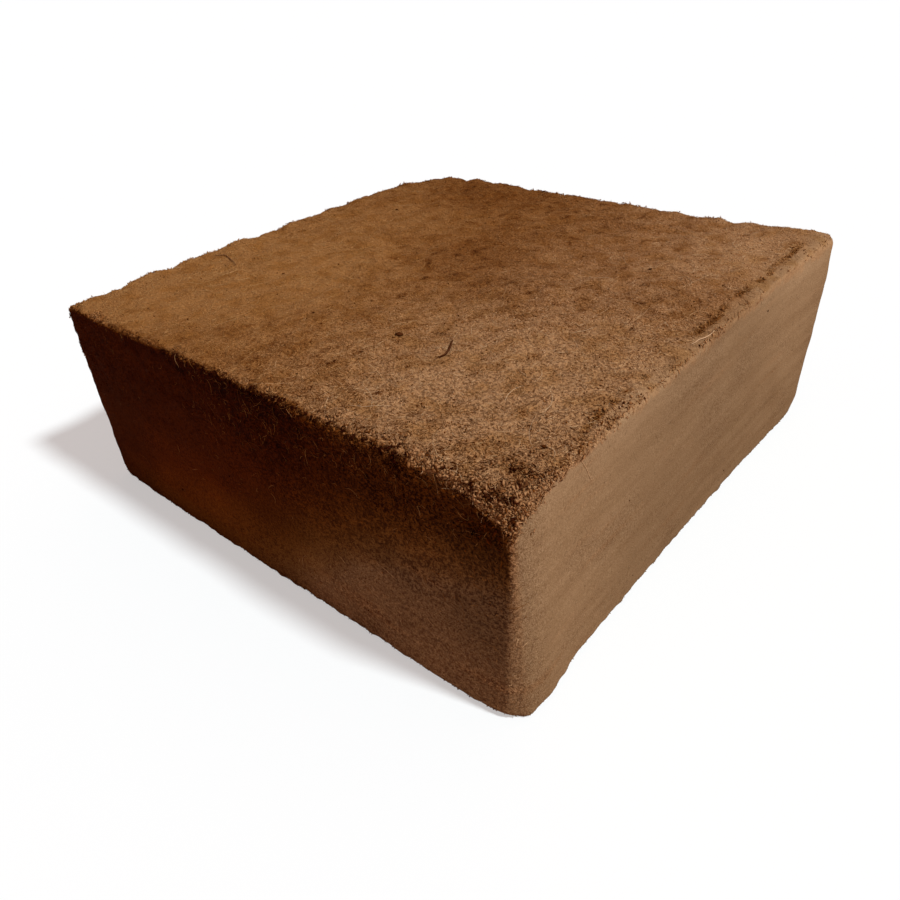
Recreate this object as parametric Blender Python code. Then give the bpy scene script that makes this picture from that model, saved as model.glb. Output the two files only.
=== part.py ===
"""A bale of coconut coir: pith and short fibres pressed into one square block that lies flat.

It is one solid. Its upright sides still show the flat walls of the press and the thin layers of
the pith, its top is rough and swollen, its edges and corners are worn, and its base is flat.
Metres, +Z up, with the origin at the middle of the base.
"""

import math

import bmesh
import bpy
from mathutils import Vector, noise

# Driving dimensions of the pressed block
SIDE = 0.300
HEIGHT = 0.112
HALF = SIDE / 2

# Edges as they leave the press, and how much rounder the ragged edges of the top are
EDGE_RADIUS = 0.0028
TOP_EDGE_WEAR = 0.0024
TOP_EDGE_WAVE = 0.035
WEAR_FROM = 0.6 * HEIGHT

# Corners that have crumbled away: the corner, the way out of it, the depth lost and its softness
FRONT_RIGHT_TOP = (Vector((HALF, -HALF, HEIGHT)), Vector((1.0, -1.0, 1.1)), 0.0078, 0.0026)
FRONT_RIGHT_EDGE = (Vector((HALF, -HALF, HEIGHT)), Vector((1.0, -0.3, 0.026)), 0.00115, 0.0006)
FRONT_RIGHT_FOOT = (Vector((HALF, -HALF, 0.0)), Vector((0.45, -1.0, -0.8)), 0.0018, 0.0008)
BACK_RIGHT_FOOT = (Vector((HALF, HALF, 0.0)), Vector((1.0, 0.8, -0.9)), 0.0030, 0.0018)
BACK_LEFT_TOP = (Vector((-HALF, HALF, HEIGHT)), Vector((-1.0, 0.55, 0.9)), 0.0080, 0.0050)
FRONT_LEFT_TOP = (Vector((-HALF, -HALF, HEIGHT)), Vector((-1.0, -1.0, 0.9)), 0.0018, 0.0014)
FRONT_LEFT_FOOT = (Vector((-HALF, -HALF, 0.0)), Vector((-1.0, -1.0, -0.5)), 0.0018, 0.0012)
WORN_CORNERS = (
    FRONT_RIGHT_TOP, FRONT_RIGHT_EDGE, FRONT_RIGHT_FOOT, BACK_RIGHT_FOOT, BACK_LEFT_TOP,
    FRONT_LEFT_TOP, FRONT_LEFT_FOOT,
)
LEAST_CUT = 0.00003

# How far each wall stands out once the block is out of the press. The front one does so at its
# foot, less so to the left, and the right one is hollow in its middle, most of all at its foot
FRONT_FOOT_SWELL = 0.0030
FRONT_LEFT_LOSS = 0.35
RIGHT_TOP_SWELL, RIGHT_FOOT_SWELL = 0.0016, 0.0035
RIGHT_TOP_HOLLOW, RIGHT_FOOT_HOLLOW = 0.0010, 0.0034
BACK_SWELL = 0.0026
LEFT_SWELL = 0.0012
TOP_SWELL = 0.0012

# Where the right wall's hollow starts and where it is whole, from its front end and its back end
RIGHT_FRONT_END = (0.012, 0.050)
RIGHT_BACK_END = (-0.030, 0.115)

# How evenly a swell runs out to the ends of its wall, and the band beside a wall that moves with it
SWELL_BREADTH = 4
FRONT_SWELL_BREADTH = 9
WALL_BAND = 0.014

# Humps along the left and back edges of the top: where, how high, and how far they reach
TOP_HUMPS = (
    (Vector((-0.145, -0.030)), 0.0020, 0.014),
    (Vector((-0.075, 0.145)), 0.0018, 0.022),
)

# The back right corner, which stands out further towards its top: where it starts, and from what height
BACK_RIGHT_SWELL = 0.0030
BACK_RIGHT_REACH = 0.065
BACK_RIGHT_HEIGHTS = (0.005, 0.095)

# Relief: height, and the length over which it repeats
TOP_WAVE, TOP_WAVE_LENGTH = 0.0013, 0.070
TOP_LUMP, TOP_LUMP_LENGTH = 0.0011, 0.019
EDGE_CRUMB, EDGE_CRUMB_LENGTH = 0.0014, 0.015
EDGE_CRUMB_BAND = 0.016
SIDE_WAVE, SIDE_WAVE_LENGTH = 0.0006, 0.090
LAYER, LAYER_THICKNESS, LAYER_LENGTH = 0.0006, 0.026, 0.160
CRUMB_STEEPNESS = 2.2

# Where each relief applies, by how far the surface faces up: 1 is straight up, -1 straight down
SIDE_TO_TOP = (-0.20, 0.50)
BASE_TO_SIDE = (-0.95, -0.45)

# Shifts that give each layer of relief a pattern of its own
WAVE_SHIFT = Vector((7.3, 3.1, 5.7))
CRUMB_SHIFT = Vector((2.9, 8.3, 4.1))

# Mesh rows: narrow ones where an edge turns, then even ones between
EDGE_ROWS = (0.0013, 0.0032, 0.0065, 0.0115)
FOOT_ROWS = (0.0012, 0.0030)
EVEN_ROW = 0.0090
CUT_MERGE = 1e-6
FLAT = 1e-6

COIR_COLOUR = (0.27, 0.15, 0.07, 1.0)
COIR_ROUGHNESS = 0.95


def rows(low, high, low_rows):
    """Places of the mesh rows between two edges, with narrow rows beside each edge."""
    near = [low + step for step in low_rows]
    far = [high - step for step in reversed(EDGE_ROWS)]
    count = round((far[0] - near[-1]) / EVEN_ROW)
    even = [near[-1] + (far[0] - near[-1]) * i / count for i in range(1, count)]
    return near + even + far


def rise(value, start, end):
    """0 up to the start and 1 from the end on, with a smooth rise between."""
    share = min(max((value - start) / (end - start), 0.0), 1.0)
    return share * share * (3.0 - 2.0 * share)


def waves(point, length, layer):
    """Soft bumps between about -1 and 1, a length apart. Each layer has its own pattern."""
    return noise.noise(point / length + WAVE_SHIFT * layer)


def crumbs(point, length, layer):
    """Rounded lumps with narrow gaps between them, between about -1 and 1."""
    nearest = noise.voronoi(point / length + CRUMB_SHIFT * layer)[0][0]
    return 1.0 - CRUMB_STEEPNESS * nearest


def worn_radius(point):
    """Radius of the block's edges near a point: small below, ragged and larger at the top."""
    ragged = max(0.5 + waves(point, TOP_EDGE_WAVE, 1), 0.0)
    return EDGE_RADIUS + TOP_EDGE_WEAR * rise(point.z, WEAR_FROM, HEIGHT) * ragged


def rounded(point):
    """Where a point of the sharp block goes when its edges are rounded, and the way it then faces."""
    radius = worn_radius(point)
    inner = HALF - radius
    core = Vector((
        min(max(point.x, -inner), inner),
        min(max(point.y, -inner), inner),
        min(max(point.z, radius), HEIGHT - radius),
    ))
    outward = (point - core).normalized()
    return core + outward * radius, outward


def crumbled(point):
    """Where a point goes when the worn corners are cut back, each by a soft slanting plane."""
    for corner, way_out, depth, softness in WORN_CORNERS:
        normal = way_out.normalized()
        beyond = (point - corner).dot(normal) + depth
        cut = softness * math.log1p(math.exp(beyond / softness)) - LEAST_CUT
        point = point - normal * max(cut, 0.0)
    return point


def beside(distance):
    """How far a point moves with a wall, by its distance out from the middle of the block."""
    return rise(distance, HALF - WALL_BAND, HALF - EDGE_RADIUS)


def across(place, breadth=SWELL_BREADTH):
    """1 in the middle of the block and 0 at its sides, by a place on the x or the y axis."""
    return 1.0 - min(abs(place) / HALF, 1.0) ** breadth


def wall_shift(point):
    """How far the walls beside a point stand out, or in, from the flat walls that pressed them."""
    foot = 1.0 - point.z / HEIGHT
    front = FRONT_FOOT_SWELL * foot * across(point.x, FRONT_SWELL_BREADTH)
    front *= 1.0 - FRONT_LEFT_LOSS * rise(-point.x, 0.0, HALF)
    ends = rise(HALF + point.y, *RIGHT_FRONT_END) * rise(HALF - point.y, *RIGHT_BACK_END)
    hollow = RIGHT_TOP_HOLLOW + (RIGHT_FOOT_HOLLOW - RIGHT_TOP_HOLLOW) * foot
    right = RIGHT_TOP_SWELL + (RIGHT_FOOT_SWELL - RIGHT_TOP_SWELL) * foot - hollow * ends
    left = LEFT_SWELL * across(point.y)
    back = BACK_SWELL * across(point.x)
    return Vector((
        right * beside(point.x) - left * beside(-point.x),
        back * beside(point.y) - front * beside(-point.y),
        0.0,
    ))


def swell(point, outward):
    """How far the top, and the block's back right corner, stand out from a sharp block."""
    top = TOP_SWELL * across(point.x) * across(point.y)
    for middle, hump, reach in TOP_HUMPS:
        top += hump * math.exp(-((point.xy - middle).length / reach) ** 2)
    to_corner = 2 * HALF - point.x - point.y
    corner = BACK_RIGHT_SWELL * rise(-to_corner, -BACK_RIGHT_REACH, 0.0)
    return top * max(outward.z, 0.0) + corner * rise(point.z, *BACK_RIGHT_HEIGHTS)


def top_relief(point):
    """Relief of the rough top: slow waves, soft lumps, and loose crumbs along its edges."""
    to_edge = HALF - max(abs(point.x), abs(point.y))
    near_edge = rise(-to_edge, -EDGE_CRUMB_BAND, 0.0)
    wave = TOP_WAVE * waves(point, TOP_WAVE_LENGTH, 2)
    lump = TOP_LUMP * crumbs(point, TOP_LUMP_LENGTH, 1)
    crumb = EDGE_CRUMB * crumbs(point, EDGE_CRUMB_LENGTH, 2) * near_edge
    return wave + lump + crumb


def side_relief(point):
    """Relief of a pressed side: slow waves, and thin layers that run level round the block."""
    stretched = Vector((
        point.x / LAYER_LENGTH,
        point.y / LAYER_LENGTH,
        point.z / LAYER_THICKNESS,
    ))
    wave = SIDE_WAVE * waves(point, SIDE_WAVE_LENGTH, 3)
    layer = LAYER * waves(stretched, 1.0, 4)
    return wave + layer


def worn(point):
    """Where a point of the sharp block lies on the finished one. The base stays flat."""
    place, outward = rounded(point)
    top_share = rise(outward.z, *SIDE_TO_TOP)
    relief = top_relief(place) * top_share + side_relief(place) * (1.0 - top_share)
    height = (swell(place, outward) + relief) * rise(outward.z, *BASE_TO_SIDE)
    return crumbled(place + wall_shift(place) + outward * height)


def cut_block():
    """A sharp block whose faces are cut into rows along each axis."""
    block = bmesh.new()
    bmesh.ops.create_cube(block, size=1.0)
    bmesh.ops.scale(block, vec=(SIDE, SIDE, HEIGHT), verts=block.verts)
    bmesh.ops.translate(block, vec=(0.0, 0.0, HEIGHT / 2), verts=block.verts)
    cuts = (
        rows(-HALF, HALF, EDGE_ROWS),
        rows(-HALF, HALF, EDGE_ROWS),
        rows(0.0, HEIGHT, FOOT_ROWS),
    )
    for axis, places in enumerate(cuts):
        normal = Vector((0.0, 0.0, 0.0))
        normal[axis] = 1.0
        for place in places:
            geometry = block.verts[:] + block.edges[:] + block.faces[:]
            bmesh.ops.bisect_plane(
                block, geom=geometry, dist=CUT_MERGE, plane_co=normal * place, plane_no=normal
            )
    return block


def within_base(place):
    """Whether a place is on the flat base, away from its edges."""
    return place.z < FLAT and max(abs(place.x), abs(place.y)) < HALF - WALL_BAND


def join_base(block):
    """Makes the flat base one face, but for a narrow border."""
    base = [face for face in block.faces if all(within_base(vertex.co) for vertex in face.verts)]
    bmesh.ops.dissolve_faces(block, faces=base)


def fit_to_size(block):
    """Gives the finished block its overall size, with the origin at the middle of its base."""
    low = Vector([min(vertex.co[axis] for vertex in block.verts) for axis in range(3)])
    high = Vector([max(vertex.co[axis] for vertex in block.verts) for axis in range(3)])
    middle = Vector(((low.x + high.x) / 2, (low.y + high.y) / 2, low.z))
    size = high - low
    bmesh.ops.translate(block, vec=-middle, verts=block.verts)
    scale = (SIDE / size.x, SIDE / size.y, HEIGHT / size.z)
    bmesh.ops.scale(block, vec=scale, verts=block.verts)


def coir_material():
    """Dry brown pith, without gloss."""
    material = bpy.data.materials.new("coir")
    material.use_nodes = True
    surface = material.node_tree.nodes["Principled BSDF"]
    surface.inputs["Base Color"].default_value = COIR_COLOUR
    surface.inputs["Roughness"].default_value = COIR_ROUGHNESS
    surface.inputs["Metallic"].default_value = 0.0
    return material


def coir_bale():
    """The pressed block, as one object."""
    block = cut_block()
    for vertex in block.verts:
        vertex.co = worn(vertex.co)
    join_base(block)
    fit_to_size(block)
    bmesh.ops.recalc_face_normals(block, faces=block.faces)
    mesh = bpy.data.meshes.new("coir_bale")
    block.to_mesh(mesh)
    block.free()
    mesh.shade_smooth()
    mesh.materials.append(coir_material())
    bale = bpy.data.objects.new("coir_bale", mesh)
    bpy.context.scene.collection.objects.link(bale)
    return bale


for old in list(bpy.data.objects):
    bpy.data.objects.remove(old)
coir_bale()
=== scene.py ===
"""The looks of a pressed bale of coconut coir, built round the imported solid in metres, +Z up.

The bale is one body of pith. Its top is a felt of crumbs and short fibres, its pressed sides are
smoother, and its top edges and its nearest corner have crumbled. Crumbs and fibres are meshes that
lie on that body. Nothing moves, so every piece rides on the one body there is.
"""

import logging
import math
from dataclasses import dataclass
from enum import Enum

import bpy
import numpy as np
from mathutils import Matrix, Vector, noise
from mathutils.bvhtree import BVHTree


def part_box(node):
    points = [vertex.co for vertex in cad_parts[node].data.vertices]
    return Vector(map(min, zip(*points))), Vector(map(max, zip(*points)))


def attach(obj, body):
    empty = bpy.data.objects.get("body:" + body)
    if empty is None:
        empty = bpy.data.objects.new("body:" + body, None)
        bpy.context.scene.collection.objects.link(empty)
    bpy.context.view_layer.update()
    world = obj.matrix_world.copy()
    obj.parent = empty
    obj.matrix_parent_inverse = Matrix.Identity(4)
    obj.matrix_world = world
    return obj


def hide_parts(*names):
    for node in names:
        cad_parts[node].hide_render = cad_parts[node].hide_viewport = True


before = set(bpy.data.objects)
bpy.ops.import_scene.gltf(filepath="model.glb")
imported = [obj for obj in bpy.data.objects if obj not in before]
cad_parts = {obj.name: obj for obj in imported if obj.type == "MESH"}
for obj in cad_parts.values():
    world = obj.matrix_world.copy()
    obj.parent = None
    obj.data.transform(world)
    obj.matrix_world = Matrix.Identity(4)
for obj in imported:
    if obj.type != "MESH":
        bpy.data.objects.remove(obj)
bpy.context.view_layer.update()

NODE = "coir_bale"
BODY = "root"
MM = 0.001

LOW, HIGH = (np.array(corner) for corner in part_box(NODE))

# Shifts that give each layer of relief a pattern of its own
WAVE_SHIFT = np.array((7.3, 3.1, 5.7))
CRUMB_SHIFT = np.array((2.9, 8.3, 4.1))
CRUMB_STEEPNESS = 2.2

# On the map of small pieces: the patch that each covers, and the margin round them all
MAP_PATCH = 0.004
MAP_MARGIN = 0.01

# Strands: how steep one is when its rings are set by the level, and how it tapers
STEEP = 0.8
TAPER = 0.4

# What is left of red, green and blue where the painted shade is deepest
DEEPEST_PAINTED_SHADE = (0.170, 0.058, 0.006)

log = logging.getLogger("coir_bale")


def rise(value: np.ndarray, start: float, end: float) -> np.ndarray:
    """0 up to the start and 1 from the end on, with a smooth rise between."""
    share = np.clip((value - start) / (end - start), 0.0, 1.0)
    return share * share * (3.0 - 2.0 * share)


def unit(vectors: np.ndarray) -> np.ndarray:
    """The vectors, each at length 1."""
    return vectors / np.maximum(np.linalg.norm(vectors, axis=-1, keepdims=True), 1e-12)


def waves(points: np.ndarray, length: float | np.ndarray, layer: int) -> np.ndarray:
    """Soft bumps between about -1 and 1, a length apart.

    Args:
        points: Places, one a row.
        length: How far apart the bumps are, alike or for each axis.
        layer: The number of the pattern.

    Returns:
        One height for each place.
    """
    spots = (points / length + WAVE_SHIFT * layer).tolist()
    return np.array([noise.noise(spot) for spot in spots])


def crumbs(points: np.ndarray, length: float, layer: int) -> np.ndarray:
    """Rounded lumps with narrow gaps between them, between about -1 and 1.

    Args:
        points: Places, one a row.
        length: How far apart the lumps are.
        layer: The number of the pattern.

    Returns:
        One height for each place.
    """
    spots = (points / length + CRUMB_SHIFT * layer).tolist()
    nearest = np.array([noise.voronoi(spot)[0][0] for spot in spots])
    return 1.0 - CRUMB_STEEPNESS * nearest


@dataclass(frozen=True)
class Ramp:
    """A value that changes smoothly from its base, from one place on, by its change, up to another."""

    start: float
    end: float
    change: float = 1.0
    base: float = 0.0

    def at(self, places: np.ndarray) -> np.ndarray:
        """The ramp's value at each place along it."""
        return self.base + self.change * rise(places, self.start, self.end)


def steady(value: float) -> Ramp:
    """A ramp that is the same all along."""
    return Ramp(0.0, 1.0, 0.0, value)


def span(start: float, end: float, change: float = 1.0, base: float = 0.0) -> Ramp:
    """A ramp between two places given in millimetres."""
    return Ramp(start * MM, end * MM, change, base)


@dataclass(frozen=True)
class Bumps:
    """Soft bumps: how strong, how far apart in millimetres, and the number of their pattern."""

    strength: float
    length: float | tuple[float, float, float]
    layer: int

    def at(self, points: np.ndarray) -> np.ndarray:
        """The strength of the bumps at each place, whose coordinates are in metres."""
        return self.strength * waves(points, np.array(self.length) * MM, self.layer)


def bumpy(patterns: tuple[Bumps, ...], points: np.ndarray) -> np.ndarray:
    """The sum of several patterns of bumps at each place."""
    return sum(pattern.at(points) for pattern in patterns)


@dataclass(frozen=True)
class Patches:
    """Soft-edged patches, cut out of a pattern of bumps by a ramp."""

    bumps: Bumps
    edge: Ramp

    def at(self, points: np.ndarray) -> np.ndarray:
        """The patches' value at each place."""
        return self.edge.at(self.bumps.at(points))


@dataclass(frozen=True)
class Band:
    """A soft-edged band on a wall: the product of ramps along the wall and up it."""

    along: tuple[Ramp, ...]
    up: tuple[Ramp, ...]

    def at(self, along: np.ndarray, up: np.ndarray) -> np.ndarray:
        """The band's value at each place on the wall."""
        share = np.ones(len(along))
        for ramps, places in ((self.along, along), (self.up, up)):
            for ramp in ramps:
                share = share * ramp.at(places)
        return share


@dataclass(frozen=True)
class CrumbledEdge:
    """A top edge that has come apart: how steeply less so down the wall, how far, how wide in mm."""

    squash: float
    strength: Ramp
    width: Ramp


@dataclass(frozen=True)
class WornCorner:
    """A corner that has crumbled away to a soft slanting plane."""

    signs: tuple[int, int, int]
    way_out: tuple[float, float, float]
    depth: float
    softness: float
    least: float = 0.03 * MM

    def cut(
        self, points: np.ndarray, outward: np.ndarray, half: float, height: float
    ) -> tuple[np.ndarray, np.ndarray]:
        """Moves points beyond the plane back to it.

        Args:
            points: Places, one a row.
            outward: The way the surface faces at each place.
            half: Half of the block's side.
            height: The block's height.

        Returns:
            The places after the cut, and the way the surface faces there.
        """
        corner = np.array((half, half, height / 2)) * self.signs + (0.0, 0.0, height / 2)
        normal = unit(np.array(self.way_out))
        beyond = (points - corner) @ normal + self.depth
        back = self.softness * np.logaddexp(0.0, beyond / self.softness) - self.least
        share = 0.5 + 0.5 * np.tanh(beyond / (2.0 * self.softness))
        facing = unit(outward + share[:, None] * (normal - outward))
        return points - np.maximum(back, 0.0)[:, None] * normal, facing


@dataclass(frozen=True)
class BlockForm:
    """The form of the pressed block, as the solid has it."""

    half: float = 0.150
    height: float = 0.112
    edge_radius: float = 0.0028
    top_edge_radius: float = 0.0012
    top_edge_wear: float = 0.0022
    top_edge_wave: float = 0.035
    wear_from: float = 0.6
    front_foot_swell: float = 0.0030
    front_left_loss: float = 0.35
    right_swell: tuple[float, float] = (0.0016, 0.0035)
    right_hollow: tuple[float, float] = (0.0010, 0.0034)
    right_front_end: tuple[float, float] = (0.012, 0.050)
    right_back_end: tuple[float, float] = (-0.030, 0.115)
    back_swell: float = 0.0026
    left_swell: float = 0.0012
    top_swell: float = 0.0012
    swell_breadth: int = 4
    front_swell_breadth: int = 9
    wall_band: float = 0.014
    top_humps: tuple[tuple[float, float, float, float], ...] = (
        (-0.145, -0.030, 0.0020, 0.014),
        (-0.075, 0.145, 0.0018, 0.022),
    )
    back_right_swell: float = 0.0030
    back_right_reach: float = 0.065
    back_right_heights: tuple[float, float] = (0.005, 0.095)
    top_wave: tuple[float, float] = (0.0013, 0.070)
    top_lump: tuple[float, float] = (0.0011, 0.019)
    edge_crumb: tuple[float, float] = (0.0011, 0.015)
    edge_crumb_band: float = 0.016
    side_wave: tuple[float, float] = (0.0006, 0.090)
    layer: tuple[float, float, float] = (0.0006, 0.026, 0.160)
    side_to_top: tuple[float, float] = (-0.20, 0.50)
    base_to_side: tuple[float, float] = (-0.95, -0.45)
    worn_corners: tuple[WornCorner, ...] = (
        WornCorner((1, -1, 1), (1.0, -1.0, 1.1), 0.0078, 0.0026),
        WornCorner((1, -1, 1), (1.0, -0.3, 0.026), 0.00140, 0.0010),
        WornCorner((1, -1, 1), (1.0, -1.0, 0.0), 0.00160, 0.0006),
        WornCorner((1, -1, 1), (0.316, -1.5, 1.0), 0.0066, 0.0009),
        WornCorner((1, -1, -1), (0.45, -1.0, -0.8), 0.0018, 0.0008),
        WornCorner((1, 1, -1), (1.0, 0.8, -0.9), 0.0030, 0.0018),
        WornCorner((-1, 1, 1), (-1.0, 0.55, 0.9), 0.0080, 0.0050),
        WornCorner((-1, -1, 1), (-1.0, -1.0, 0.9), 0.0018, 0.0014),
        WornCorner((-1, -1, -1), (-1.0, -1.0, -0.5), 0.0018, 0.0012),
    )

    def rounded(self, points: np.ndarray) -> tuple[np.ndarray, np.ndarray]:
        """Rounds the edges of the sharp block.

        Args:
            points: Places on the sharp block, one a row.

        Returns:
            The places on the rounded block, and the way the surface faces there.
        """
        ragged = np.maximum(0.5 + waves(points, self.top_edge_wave, 1), 0.0)
        wear = rise(points[:, 2], self.wear_from * self.height, self.height)
        radius = self.edge_radius + (self.top_edge_radius - self.edge_radius) * wear
        radius = radius + self.top_edge_wear * wear * ragged
        inner = self.half - radius
        core = np.stack(
            (
                np.clip(points[:, 0], -inner, inner),
                np.clip(points[:, 1], -inner, inner),
                np.clip(points[:, 2], radius, self.height - radius),
            ),
            axis=1,
        )
        outward = unit(points - core)
        return core + outward * radius[:, None], outward

    def beside(self, distance: np.ndarray) -> np.ndarray:
        """How far each place moves with a wall, by its distance out from the block's middle."""
        return rise(distance, self.half - self.wall_band, self.half - self.edge_radius)

    def wall_shift(self, points: np.ndarray) -> np.ndarray:
        """How far the walls stand out, or in, from the flat walls that pressed them.

        Args:
            points: Places, one a row.

        Returns:
            A level step for each place.
        """
        x, y, z = points.T
        foot = 1.0 - z / self.height
        across_x, across_y = self.across(points)
        across_front = 1.0 - np.minimum(np.abs(x) / self.half, 1.0) ** self.front_swell_breadth
        across_front = across_front * (1.0 - self.front_left_loss * rise(-x, 0.0, self.half))
        ends = rise(self.half + y, *self.right_front_end) * rise(self.half - y, *self.right_back_end)
        out, hollow = (
            top + (bottom - top) * foot for top, bottom in (self.right_swell, self.right_hollow)
        )
        right = (out - hollow * ends) * self.beside(x)
        left = self.left_swell * across_y * self.beside(-x)
        back = self.back_swell * across_x * self.beside(y)
        front = self.front_foot_swell * across_front * foot * self.beside(-y)
        return np.stack((right - left, back - front, np.zeros(len(points))), axis=1)

    def across(self, points: np.ndarray) -> tuple[np.ndarray, np.ndarray]:
        """How far each place is from the ends of the walls, along x and along y, from 0 to 1."""
        share = np.minimum(np.abs(points[:, :2]) / self.half, 1.0)
        across_x, across_y = (1.0 - share**self.swell_breadth).T
        return across_x, across_y

    def swell(self, points: np.ndarray, outward: np.ndarray) -> np.ndarray:
        """How far the top, and the block's back right corner, stand out from a sharp block.

        Args:
            points: Places, one a row.
            outward: The way the surface faces at each place.

        Returns:
            One distance for each place.
        """
        across_x, across_y = self.across(points)
        top = self.top_swell * across_x * across_y
        for x, y, hump, reach in self.top_humps:
            top = top + hump * np.exp(-((points[:, 0] - x) ** 2 + (points[:, 1] - y) ** 2) / reach**2)
        to_corner = 2 * self.half - points[:, 0] - points[:, 1]
        corner = self.back_right_swell * rise(-to_corner, -self.back_right_reach, 0.0)
        corner = corner * rise(points[:, 2], *self.back_right_heights)
        return top * np.maximum(outward[:, 2], 0.0) + corner

    def top_relief(self, points: np.ndarray) -> np.ndarray:
        """Relief of the rough top: slow waves, soft lumps, and loose crumbs along its edges."""
        to_edge = self.half - np.abs(points[:, :2]).max(axis=1)
        near_edge = rise(-to_edge, -self.edge_crumb_band, 0.0)
        wave = self.top_wave[0] * waves(points, self.top_wave[1], 2)
        lump = self.top_lump[0] * crumbs(points, self.top_lump[1], 1)
        return wave + lump + self.edge_crumb[0] * crumbs(points, self.edge_crumb[1], 2) * near_edge

    def side_relief(self, points: np.ndarray) -> np.ndarray:
        """Relief of a pressed side: slow waves, and layers that run level round the block."""
        height, thickness, length = self.layer
        wave = self.side_wave[0] * waves(points, self.side_wave[1], 3)
        return wave + height * waves(points, np.array((length, length, thickness)), 4)

    def worn(self, points: np.ndarray) -> tuple[np.ndarray, np.ndarray]:
        """Shapes the sharp block into the finished one, whose base stays flat.

        Args:
            points: Places on the sharp block, one a row.

        Returns:
            The places on the finished block, and the way the surface faces there.
        """
        places, outward = self.rounded(points)
        top = rise(outward[:, 2], *self.side_to_top)
        relief = self.top_relief(places) * top + self.side_relief(places) * (1.0 - top)
        above_base = rise(outward[:, 2], *self.base_to_side)
        height = (self.swell(places, outward) + relief) * above_base
        places = places + self.wall_shift(places) + outward * height[:, None]
        for corner in self.worn_corners:
            places, outward = corner.cut(places, outward, self.half, self.height)
        return places, outward


@dataclass
class Surface:
    """The finished skin of the block, on which crumbs and fibres are laid."""

    places: np.ndarray
    normals: np.ndarray
    triangles: np.ndarray
    felt: np.ndarray
    crumbly: np.ndarray
    # The skin's painted shade and warmth
    painted_shade_and_warmth: np.ndarray
    drift: np.ndarray
    loose: np.ndarray
    foot: np.ndarray
    fringe: np.ndarray

    def __post_init__(self) -> None:
        """Prepares the search for the nearest place on the skin."""
        self.tree = BVHTree.FromPolygons(self.places.tolist(), self.triangles.tolist())
        self.face_normals = unit(self.normals[self.triangles].mean(axis=1))
        a, b, c = self.places[self.triangles].transpose(1, 0, 2)
        self.areas = np.linalg.norm(np.cross(b - a, c - a), axis=1) / 2

    def face_values(self, values: np.ndarray) -> np.ndarray:
        """The mean over each triangle of a value that its corners hold."""
        return values[self.triangles].mean(axis=1)

    def scatter(
        self, count: int, density: np.ndarray, chance: np.random.Generator
    ) -> tuple[np.ndarray, np.ndarray]:
        """Draws places at random on the skin.

        Args:
            count: How many places.
            density: For each triangle, how thickly the places lie there.
            chance: The source of random numbers.

        Returns:
            The places, and the triangle that each is on.
        """
        weight = self.areas * density
        chosen = chance.choice(len(weight), size=count, p=weight / weight.sum())
        first, second = chance.random((2, count, 1))
        swap = first + second > 1.0
        first, second = np.where(swap, 1.0 - first, first), np.where(swap, 1.0 - second, second)
        a, b, c = self.places[self.triangles[chosen]].transpose(1, 0, 2)
        return a + (b - a) * first + (c - a) * second, chosen

    def snapped(self, points: np.ndarray) -> tuple[np.ndarray, np.ndarray]:
        """Moves points to the nearest place on the skin.

        Args:
            points: Places, one a row.

        Returns:
            The places on the skin, and the triangle that each is on.
        """
        found = [self.tree.find_nearest(point) for point in points.tolist()]
        places = np.array([place[:] for place, _, _, _ in found])
        return places, np.array([face for _, _, face, _ in found])


@dataclass(frozen=True)
class Spread:
    """How thickly small pieces lie on each kind of skin."""

    felt: float = 0.0
    crumbly: float = 0.0
    pressed: float = 0.0
    foot: float = 0.0
    # How thickly pieces lie where the painted shade is deep under the front's top edge
    painted_shade_and_warmth: float = 0.0
    facing_down: Ramp = Ramp(-0.9, -0.3)
    brow_up: Ramp = Ramp(62.0 * MM, 104.0 * MM, 0.88, 0.12)
    brow_along: Ramp = Ramp(-75.0 * MM, 20.0 * MM, 0.92, 0.08)

    def density(self, skin: Surface) -> np.ndarray:
        """The density on each triangle of the skin."""
        felt, crumbly, foot, painted_shade_and_warmth = (
            skin.face_values(values) for values in (skin.felt, skin.crumbly, skin.foot, skin.painted_shade_and_warmth)
        )
        x, height = (skin.face_values(skin.places[:, axis]) for axis in (0, 2))
        loose = self.felt * felt**2 + self.crumbly * crumbly + self.pressed * (1.0 - felt)
        brow = painted_shade_and_warmth**2 * self.brow_up.at(height) * self.brow_along.at(x)
        density = loose + self.foot * foot + self.painted_shade_and_warmth * brow
        return density * self.facing_down.at(skin.face_normals[:, 2])


def mesh_object(
    name: str, places: np.ndarray, faces: list[np.ndarray], uv: np.ndarray | None = None
) -> bpy.types.Object:
    """Makes an object from arrays, riding on the block's body.

    Args:
        name: The piece's name.
        places: The vertices, one a row.
        faces: Arrays of faces, each with the same number of corners a face.
        uv: A place on the map for each corner of each face, in the order of the faces.

    Returns:
        The object.
    """
    mesh = bpy.data.meshes.new(name)
    counts = np.concatenate([np.full(len(group), group.shape[1]) for group in faces])
    corners = np.concatenate([group.ravel() for group in faces])
    mesh.vertices.add(len(places))
    mesh.vertices.foreach_set("co", places.astype(np.float32).ravel())
    mesh.loops.add(len(corners))
    mesh.loops.foreach_set("vertex_index", corners.astype(np.int32))
    mesh.polygons.add(len(counts))
    starts = np.concatenate(((0,), np.cumsum(counts)[:-1]))
    mesh.polygons.foreach_set("loop_start", starts.astype(np.int32))
    mesh.update(calc_edges=True)
    if uv is not None:
        layer = mesh.uv_layers.new(name="OFBake", do_init=False)
        layer.uv.foreach_set("vector", uv.astype(np.float32).ravel())
    mesh.validate()
    piece = bpy.data.objects.new(name, mesh)
    bpy.context.scene.collection.objects.link(piece)
    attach(piece, BODY)
    return piece


def point_values(piece: bpy.types.Object, name: str, values: np.ndarray) -> None:
    """Stores a value for each vertex under a name that materials can read."""
    attribute = piece.data.attributes.new(name, "FLOAT", "POINT")
    attribute.data.foreach_set("value", values.astype(np.float32))


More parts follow.
